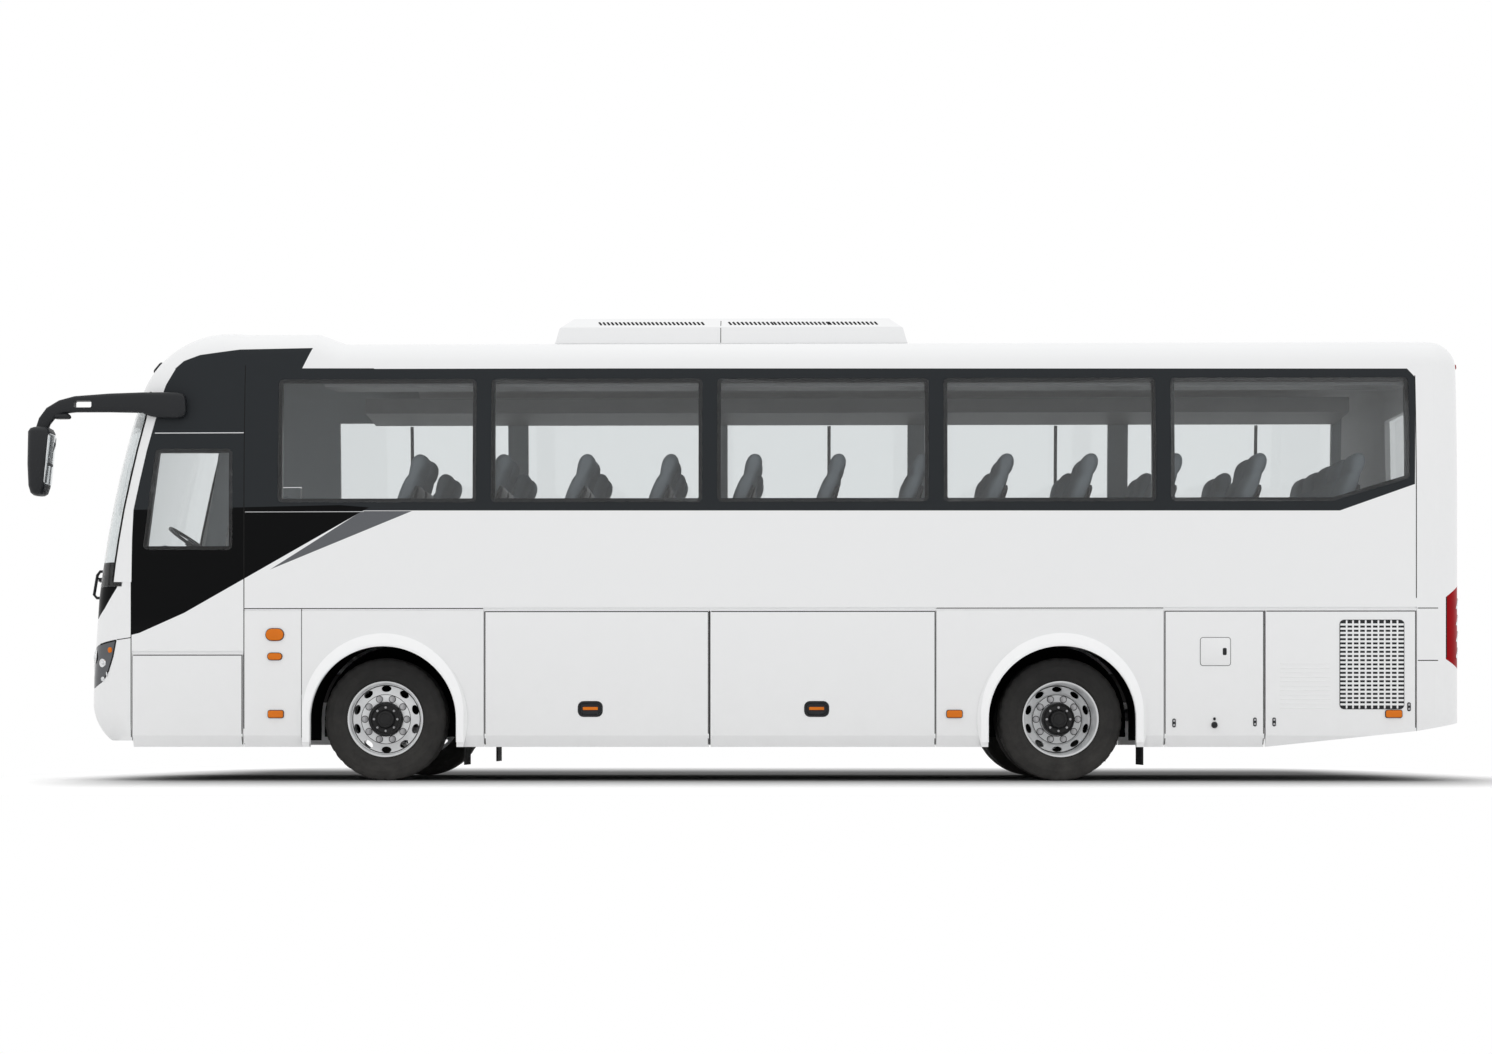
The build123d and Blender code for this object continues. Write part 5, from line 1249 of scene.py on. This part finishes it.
# %% Headlamps
chrome = plain_finish("chrome", (0.80, 0.81, 0.82, 1), 0.12, metallic=1.0, bump=0.0, spread=0.1)
reflector_rows = [(1.13, 0.985, 0.060), (0.985, 0.925, 0.082), (0.815, 0.880, 0.074)]
side_lights = [(102.5, 663, 0.034), (107, 674, 0.022), (103, 679, 0.018)]
WINKER_PX = (110, 650)
MAIN_DISH, SIDE_DISH = (0.005, 0.006, -0.001), (0.004, 0.005, 0.001)
MAIN_BULB = [(0.0, -0.002), (0.002, 0.008), (0.010, 0.013), (0.018, 0.015)]
SIDE_BULB = [(0.0, -0.001), (0.002, 0.006), (0.008, 0.009)]
LAMP_AIM = Vector((-1, -0.55, 0)).normalized()
rings, bulbs, winkers = bmesh.new(), bmesh.new(), bmesh.new()


def round_lamp(seat, radius, ease, lifts, bulb):
    """Adds a reflector and its bulb; lifts are the heights of the rim, its crown and the bottom."""
    rim, crown, bottom = lifts
    dish = [(-0.002, -0.002), (0.0, rim), (ease, crown), (0.4 * radius, bottom), (0.6 * radius, bottom)]
    pad(rings, seat, (2 * radius, 2 * radius), radius * 0.999, dish)
    pad(bulbs, seat, (0.9 * radius, 0.9 * radius), radius * 0.449, bulb)


for hand, side in SIDES:
    aim = Vector((LAMP_AIM.x, side * LAMP_AIM.y, 0))
    for y, z, radius in reflector_rows:
        target = Vector((NOSE_X - 0.1, side * y, z))
        round_lamp(seat_on("headlamps", target - aim * 2, aim), radius, 0.006, MAIN_DISH, MAIN_BULB)
for hand, side in SIDES:
    mirrored = Matrix.Diagonal((1, side, 1, 1))
    for x, y, radius in side_lights:
        seat = mirrored @ facing(*seen_at(x, y, ("headlamps",)), (0, 0, 1))
        round_lamp(seat, radius, 0.005, SIDE_DISH, SIDE_BULB)
    seat = mirrored @ facing(*seen_at(*WINKER_PX, ("headlamps",)), (0, 0, 1))
    pad(winkers, seat, (0.034, 0.044), 0.016, [(0.0, -0.002), (0.0, 0.004), (0.006, 0.007)])
piece("lamp_reflectors", rings, chrome, "body")
piece("lamp_bulbs", bulbs, chrome, "body")
piece("lamp_winkers", winkers, amber_lens, "body")
print(len(reflector_rows) + len(side_lights), "round lamps in each headlamp")

# %% Tail lamps
TAIL_BARS, TAIL_LEAN = (1.01, 1.14, 1.27, 1.40), radians(-35)
TAIL_BAR = [(0.0, -0.002), (0.0, 0.003), (0.003, 0.005)]
TAIL_FOOT, TAIL_TALL = 0.97, 0.48
tail_low, tail_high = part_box("tail_lamps")
tail_bars, tail_seals = bmesh.new(), bmesh.new()
for hand, side in SIDES:
    for up in TAIL_BARS:
        seat = seat_on("tail_lamps", (tail_low[0] - 1, side * (tail_high[1] - 0.12), up), (1, 0, 0))
        leaning = seat @ Matrix.Rotation(side * TAIL_LEAN, 4, "Y")
        pad(tail_bars, leaning, (0.026, 0.105), 0.008, TAIL_BAR)
    heights = [TAIL_FOOT + TAIL_TALL * step / 10 for step in range(11)]
    edge = [on_side("tail_lamps", (tail_high[0] - 0.006, z), side) for z in heights]
    strip(tail_seals, edge, 0.012, 0.0015)
piece("tail_reflectors", tail_bars, chrome, "body")
piece("tail_seals", tail_seals, soft_rubber, "body")
print(len(TAIL_BARS), "bars in each tail lamp")

# %% [markdown]
# The screen is bonded in: a rubber seal runs round it, a white cover hides the pillar beside it and a
# black band is fired onto the foot of the glass to hide the glue. All are thin sheets and beads, laid
# on the spots where rays meet the curved screen, since a flat strip would stand off it.

# %% Tubes and sheets
def tube(bm, points, radius, sides=10):
    """Adds a round bar along some points."""
    loops = []
    for index, point in enumerate(points):
        first, last = points[max(index - 1, 0)], points[min(index + 1, len(points) - 1)]
        run = (Vector(last) - Vector(first)).normalized()
        a = run.cross(Vector((0.31, 0.92, 0.23))).normalized()
        b = run.cross(a)
        turns = [2 * pi * step / sides for step in range(sides)]
        loops.append([bm.verts.new(Vector(point) + (a * cos(t) + b * sin(t)) * radius) for t in turns])
    skin(bm, loops)


def plate(bm, grid, thick, side=1):
    """Adds a thin sheet laid on a grid of (point, normal) places; side -1 mirrors it to the right."""
    skins = []
    for lift in (-0.001, thick):
        rows = []
        for row in grid:
            places = [point + normal * lift for point, normal in row]
            rows.append([bm.verts.new((p.x, side * p.y, p.z)) for p in places])
        skins.append(rows)
    for rows in skins:
        for a, b in zip(rows, rows[1:]):
            for index in range(len(a) - 1):
                bm.faces.new((a[index], a[index + 1], b[index + 1], b[index]))
    rims = []
    for rows in skins:
        ends = [row[-1] for row in rows[1:-1]], [row[0] for row in rows[-2:0:-1]]
        rims.append(rows[0] + ends[0] + rows[-1][::-1] + ends[1])
    for index in range(len(rims[0])):
        after = (index + 1) % len(rims[0])
        bm.faces.new((rims[0][index], rims[0][after], rims[1][after], rims[1][index]))


print("tubes and sheets can be laid")

# %% Pillar covers and windscreen seal
PILLAR_NODES = ("windscreen", "front_cap", "cab_wall_left")
pillar_rows = [
    (392, 152.0, 164.0), (405, 149.5, 160.0), (420, 146.5, 155.5), (450, 138.5, 147.0), (480, 131.5, 140.0),
    (510, 125.0, 133.5), (540, 119.8, 132.0), (565, 116.0, 131.6), (582, 114.0, 131.4),
]
pillar_grid = []
for y, fore, aft in pillar_rows:
    pillar_grid.append([seen_at(fore + (aft - fore) * step / 4, y, PILLAR_NODES) for step in range(5)])
seal_line = [seen_at(fore - 1.0, y, PILLAR_NODES) for y, fore, aft in pillar_rows]
covers = bmesh.new()
for hand, side in SIDES:
    plate(covers, pillar_grid, 0.003, side)
piece("pillar_covers", covers, white_paint, "body")

SEAL_HALF, SEAL_IN = 1.06, 0.018
seal = bmesh.new()
screen_low, screen_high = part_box("windscreen")
for hand, side in SIDES:
    mirrored = Matrix.Diagonal((1, side, 1, 1))
    strip(seal, [mirrored @ facing(*found, (0, 0, 1)) for found in seal_line], 0.020, 0.005)
across = [SEAL_HALF * (step / 20 - 0.5) * 2 for step in range(21)]
for up in (screen_low[2] + SEAL_IN, screen_high[2] - SEAL_IN):
    strip(seal, [seat_on("windscreen", (8, y, up), (-1, 0, 0)) for y in across], 0.036, 0.002)
piece("windscreen_seal", seal, soft_rubber, "body")
print("pillar covers of", len(pillar_rows), "rows and a seal round the screen")

# %% Black foot of the windscreen
FRIT_X, FRIT_FOOT, FRIT_TALL = 3.9, 0.004, 0.190
FRIT_ROWS, FRIT_STEPS = 6, 28


def screen_hit(turn, up):
    """Where a level ray meets the windscreen from outside, or None; turn is its angle from ahead."""
    look = Vector((cos(radians(turn)), sin(radians(turn)), 0))
    hit, point, normal, _ = nodes["windscreen"].ray_cast(Vector((FRIT_X, 0, up)) + look * 6, -look)
    return (point, normal) if hit and point.y * turn >= -0.05 else None


frit_grid = []
for step in range(FRIT_ROWS + 1):
    up = screen_low[2] + FRIT_FOOT + FRIT_TALL * step / FRIT_ROWS
    widest = max(turn for turn in range(30, 70) if screen_hit(turn, up) and screen_hit(-turn, up))
    turns = [widest * (2 * index / FRIT_STEPS - 1) for index in range(FRIT_STEPS + 1)]
    frit_grid.append([screen_hit(turn, up) for turn in turns])
frit = bmesh.new()
plate(frit, frit_grid, 0.0012)
screen_black = paint("screen_black", BLACK, dusty=0.03, gloss=0.1)
piece("screen_foot_band", frit, screen_black, "body")
print("black foot", FRIT_TALL, "m tall")

# %% Roof markers and grab handles
GRAB_OUT, GRAB_R = Vector((0.075, 0, 0)), 0.012
MARKER = [(0.0, -0.002), (0.0, 0.012), (0.008, 0.020), (0.02, 0.022)]
markers, grabs = bmesh.new(), bmesh.new()
for hand, side in SIDES:
    seat = seat_on("front_cap", (8, side * 0.92, 3.315), (-1, 0, 0))
    pad(markers, seat, (0.150, 0.105), 0.030, MARKER)
    foot = seat_on("front_cap", (8, side * 0.80, 1.475), (-1, 0, 0))
    head = seat_on("windscreen", (8, side * 0.80, 1.690), (-1, 0, 0))
    low, high = foot.translation, head.translation
    bend = [low + GRAB_OUT * 0.7, low + GRAB_OUT + Vector((0, 0, 0.025))]
    bend += [high + GRAB_OUT + Vector((0, 0, -0.03)), high + GRAB_OUT * 0.7]
    tube(grabs, [low, *bend, high], GRAB_R)
    pad(grabs, foot, (0.060, 0.060), 0.029, [(0.0, -0.002), (0.0, 0.012), (0.012, 0.022)])
    pad(grabs, head, (0.040, 0.040), 0.019, [(0.0, -0.002), (0.0, 0.006), (0.006, 0.010)])
piece("roof_markers", markers, black_plastic, "body")
piece("grab_handles", grabs, black_plastic, "body")
print("markers and grab handles on", len(SIDES), "sides")

# %% [markdown]
# The last small things on the body: the seals round the headlamps, the fog lamps low in the bumper, the
# red markers at the back, the bars of the sliding panes and the handle of the entrance door. They use
# the same beads and pads as before.

# %% Lamp seals, fog lamps and rear markers
FOG_RING = [(0.0, -0.003), (0.0, 0.003), (0.006, 0.005), (0.014, 0.001)]
lamp_edge = [(-0.346, 1.114), (-0.321, 0.985), (-0.284, 0.870), (-0.236, 0.787)]
lamp_top = [(-0.346, 1.114), (-0.270, 1.098), (-0.192, 1.079)]
seals, fog_rings, fog_lenses, rear_marks = bmesh.new(), bmesh.new(), bmesh.new(), bmesh.new()
for hand, side in SIDES:
    for row in (lamp_edge, lamp_top):
        seats = []
        for (a0, z0), (a1, z1) in zip(row, row[1:]):
            ends = (NOSE_X + a0, z0), (NOSE_X + a1, z1)
            seats += along_side(["headlamps", "front_bumper"], *ends, side, steps=6)[:-1]
        strip(seals, seats, 0.014, 0.002)
    for z in (0.745, 0.985):
        across = [side * (0.74 + 0.26 * step / 8) for step in range(9)]
        strip(seals, [seat_on("front_bumper", (8, y, z), (-1, 0, 0)) for y in across], 0.014, 0.002)
    seat = seat_on("front_bumper", (8, side * 0.93, 0.560), (-1, 0, 0))
    pad(fog_rings, seat, (0.130, 0.110), 0.050, FOG_RING)
    pad(fog_lenses, seat, (0.094, 0.080), 0.038, [(0.0, -0.001), (0.004, 0.005), (0.016, 0.008)])
    seat = seat_on("rear_cap", (-8, side * 0.95, 3.300), (1, 0, 0))
    pad(rear_marks, seat, (0.090, 0.040), 0.012, [(0.0, -0.002), (0.0, 0.008), (0.006, 0.014)])
piece("lamp_seals", seals, soft_rubber, "body")
piece("fog_rings", fog_rings, black_plastic, "body")
piece("fog_lenses", fog_lenses, clear_lens, "body")
piece("rear_markers", rear_marks, red_lens, "body")
print("lamp seals, fog lamps and rear markers")

# %% Sliding panes and the entrance door's handle
slider_x = (3.03, -0.72, -2.75, -4.54)
PANE_FOOT, PANE_TOP = 2.235, 3.130
sliders = bmesh.new()
for x in slider_x:
    strip(sliders, along_side(["side_glass_right"], (x, PANE_FOOT), (x, PANE_TOP), -1), 0.030, 0.003)
piece("sliding_pane_bars", sliders, soft_rubber, "body")
door_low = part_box("passenger_door")[0]
grip = bmesh.new()
handle_seat = on_side("passenger_door", (door_low[0] + 0.045, 1.50), -1)
pad(grip, handle_seat, (0.045, 0.150), 0.018, [(0.0, -0.001), (0.0, 0.010), (0.008, 0.018)])
piece("door_handle", grip, black_plastic, body_of("passenger_door"))
print("sliding bars", len(slider_x))

# %% [markdown]
# Coach seats are padded, so a plain solid would not do. Each cushion is a pillow: a grid that bulges in
# the middle, pulls in along its sides and is pinched where the cover is sewn in channels. Each back is
# a stack of rounded rings up a bent spine, drawn in at its seams and below its head rest. A cloth
# simulation would take minutes for forty-nine places that show through tinted glass. A hard shell and a
# pedestal carry each pair.

# %% Stuffing
def pillow(bm, seat, width, length, thick, channels=(), across=8, along=14):
    """Adds a crowned cushion; channels are sewn lines along it."""
    faces = []
    for front in (1, -1):
        grid = []
        for j in range(along + 1):
            v = 2 * j / along - 1
            row = []
            for i in range(across + 1):
                u = 2 * i / across - 1
                rim = abs(u) > 0.999 or abs(v) > 0.999
                crown = ((1 - u ** 4) * (1 - v ** 6)) ** 0.5
                pinch = 1 - sum(0.30 * (1 - abs(v - c) / 0.1) for c in channels if abs(v - c) < 0.1)
                pull = 1 - 0.05 * (1 - v * v)
                x = u * pull * width / 2 * (1 - 0.06 * v ** 8)
                z = v * length / 2 * (1 - 0.04 * (1 - u * u))
                if rim and front < 0:
                    row.append(faces[0][j][i])
                    continue
                out = 0.0 if rim else front * crown * pinch * thick * (0.5 if front > 0 else 0.28)
                row.append(bm.verts.new(seat @ Vector((x, out, z))))
            grid.append(row)
        faces.append(grid)
        for j in range(along):
            for i in range(across):
                bm.faces.new((grid[j][i], grid[j][i + 1], grid[j + 1][i + 1], grid[j + 1][i]))


def stuffed(bm, base, width, rows, around=32):
    """Adds a stuffed back up a bent spine; a row is (height, set forward, share of width, thickness)."""
    loops = []
    for up, ahead, share, thick in rows:
        ring = []
        for step in range(around):
            across, deep = cos(2 * pi * step / around), sin(2 * pi * step / around)
            across = copysign(abs(across) ** 0.55, across) * width * share / 2
            deep = copysign(abs(deep) ** 0.70, deep) * thick / 2
            ring.append(bm.verts.new(base + Vector((ahead + deep, across, up))))
        loops.append(ring)
    skin(bm, loops)


print("pillows and stuffed backs can be made")

# %% Seat places
BACK_ROWS = (
    (0.392, 0.236, 0.86, 0.050), (0.400, 0.234, 0.94, 0.095), (0.420, 0.228, 0.99, 0.135),
    (0.470, 0.215, 1.00, 0.160), (0.530, 0.198, 1.00, 0.158), (0.575, 0.184, 0.99, 0.142),
    (0.590, 0.179, 0.985, 0.122), (0.605, 0.174, 0.99, 0.142), (0.660, 0.156, 0.99, 0.152),
    (0.730, 0.131, 0.98, 0.150), (0.775, 0.113, 0.97, 0.136), (0.790, 0.107, 0.96, 0.118),
    (0.805, 0.101, 0.96, 0.136), (0.860, 0.080, 0.96, 0.142), (0.920, 0.058, 0.95, 0.136),
    (0.960, 0.042, 0.92, 0.128), (0.985, 0.030, 0.88, 0.116), (0.996, 0.024, 0.86, 0.108),
    (1.007, 0.019, 0.85, 0.116), (1.035, 0.008, 0.84, 0.130), (1.075, -0.002, 0.82, 0.136),
    (1.110, -0.008, 0.79, 0.128), (1.135, -0.012, 0.73, 0.106), (1.152, -0.014, 0.64, 0.076),
    (1.160, -0.014, 0.52, 0.044), (1.163, -0.014, 0.36, 0.016),
)
SHELL_FOOT, SHELL_TOP = Vector((0.142, 0, 0.450)), Vector((0.0, 0, 0.880))
DECK_Z, PLATFORM_Z = 1.450, 1.150
SEAT_PITCH, SEAT_ROWS = 0.671, 11
SHELL_ROWS = [(0.0, -0.014), (0.0, 0.004), (0.02, 0.016), (0.06, 0.020)]
CUSHION_OUT, CUSHION_ALONG = (0.09, 0, 1), (1, 0, -0.09)
CUSHION_AT = Vector((0.43, 0, 0.415))
cushions, backs, shells = bmesh.new(), bmesh.new(), bmesh.new()


def seat_place(x, y, floor, width):
    """One padded place with its shell; x is the foot of its back."""
    base = Vector((x, y, floor))
    laid = facing(base + CUSHION_AT, CUSHION_OUT, CUSHION_ALONG)
    pillow(cushions, laid, width, 0.48, 0.15, channels=(-0.35, 0.35))
    stuffed(backs, base, width, BACK_ROWS)
    up = (SHELL_TOP - SHELL_FOOT).normalized()
    behind = facing(base + (SHELL_FOOT + SHELL_TOP) / 2, Vector((-up.z, 0, up.x)), up)
    pad(shells, behind, (width - 0.03, 0.50), 0.05, SHELL_ROWS)


def pedestal(x, y_low, y_high, floor):
    """The shared frame of a row of places: a leg and a seat pan."""
    middle, reach = (y_low + y_high) / 2, (y_high - y_low) / 6
    bar(shells, (x + 0.24, middle - reach, floor), (x + 0.44, middle + reach, floor + 0.30), 0.02)
    bar(shells, (x + 0.14, y_low + 0.02, floor + 0.300), (x + 0.64, y_high - 0.02, floor + 0.375), 0.015)


def arm_rest(x, y, floor):
    """A padded arm beside a place."""
    bar(shells, (x + 0.12, y - 0.02, floor + 0.60), (x + 0.47, y + 0.02, floor + 0.645), 0.015)


print("seat places are", SEAT_PITCH, "m apart")

# %% Seats
SEAT_OUT_Y, SEAT_WIDTH, SEAT_GAP = 1.147, 0.88, 0.012
FIRST_ROW_X, BENCH_X = FRONT_AXLE_X - 0.246, FRONT_AXLE_X - 7.740
BENCH_PLACES = 5
bench_pitch = 2 * SEAT_OUT_Y / BENCH_PLACES
for row in range(SEAT_ROWS):
    row_x = FIRST_ROW_X - SEAT_PITCH * row
    for side in (1, -1):
        for place in (0.25, 0.75):
            seat_place(row_x, side * (SEAT_OUT_Y - SEAT_WIDTH * place), DECK_Z, SEAT_WIDTH / 2 - SEAT_GAP)
        pedestal(row_x, *sorted((side * SEAT_OUT_Y, side * (SEAT_OUT_Y - SEAT_WIDTH))), DECK_Z)
        arm_rest(row_x, side * (SEAT_OUT_Y - SEAT_WIDTH + 0.022), DECK_Z)
for place in range(BENCH_PLACES):
    seat_place(BENCH_X, (place - BENCH_PLACES // 2) * bench_pitch, DECK_Z, bench_pitch - SEAT_GAP)
pedestal(BENCH_X, -SEAT_OUT_Y, SEAT_OUT_Y, DECK_Z)
cushion_piece = piece(
    "seat_cushions", cushions, seat_cloth, "body", stands_for=["seats"], crease=180
)
back_piece = piece("seat_backs", backs, seat_cloth, "body", crease=180)
piece("seat_shells", shells, black_plastic, "body")
cushions, backs, shells = bmesh.new(), bmesh.new(), bmesh.new()
DRIVER_X, DRIVER_Y, DRIVER_WIDE = NOSE_X - 1.560, 0.560, 0.48
seat_place(DRIVER_X, DRIVER_Y, PLATFORM_Z, DRIVER_WIDE)
pedestal(DRIVER_X, DRIVER_Y - DRIVER_WIDE / 2, DRIVER_Y + DRIVER_WIDE / 2, PLATFORM_Z)
driver_cushion = piece(
    "driver_cushion", cushions, seat_cloth, "body", stands_for=["driver_seat"], crease=180
)
driver_back = piece("driver_back", backs, seat_cloth, "body", crease=180)
piece("driver_seat_shell", shells, black_plastic, "body")
print("seats:", SEAT_ROWS * 4 + BENCH_PLACES, "places,", len(back_piece.data.polygons), "faces in backs")
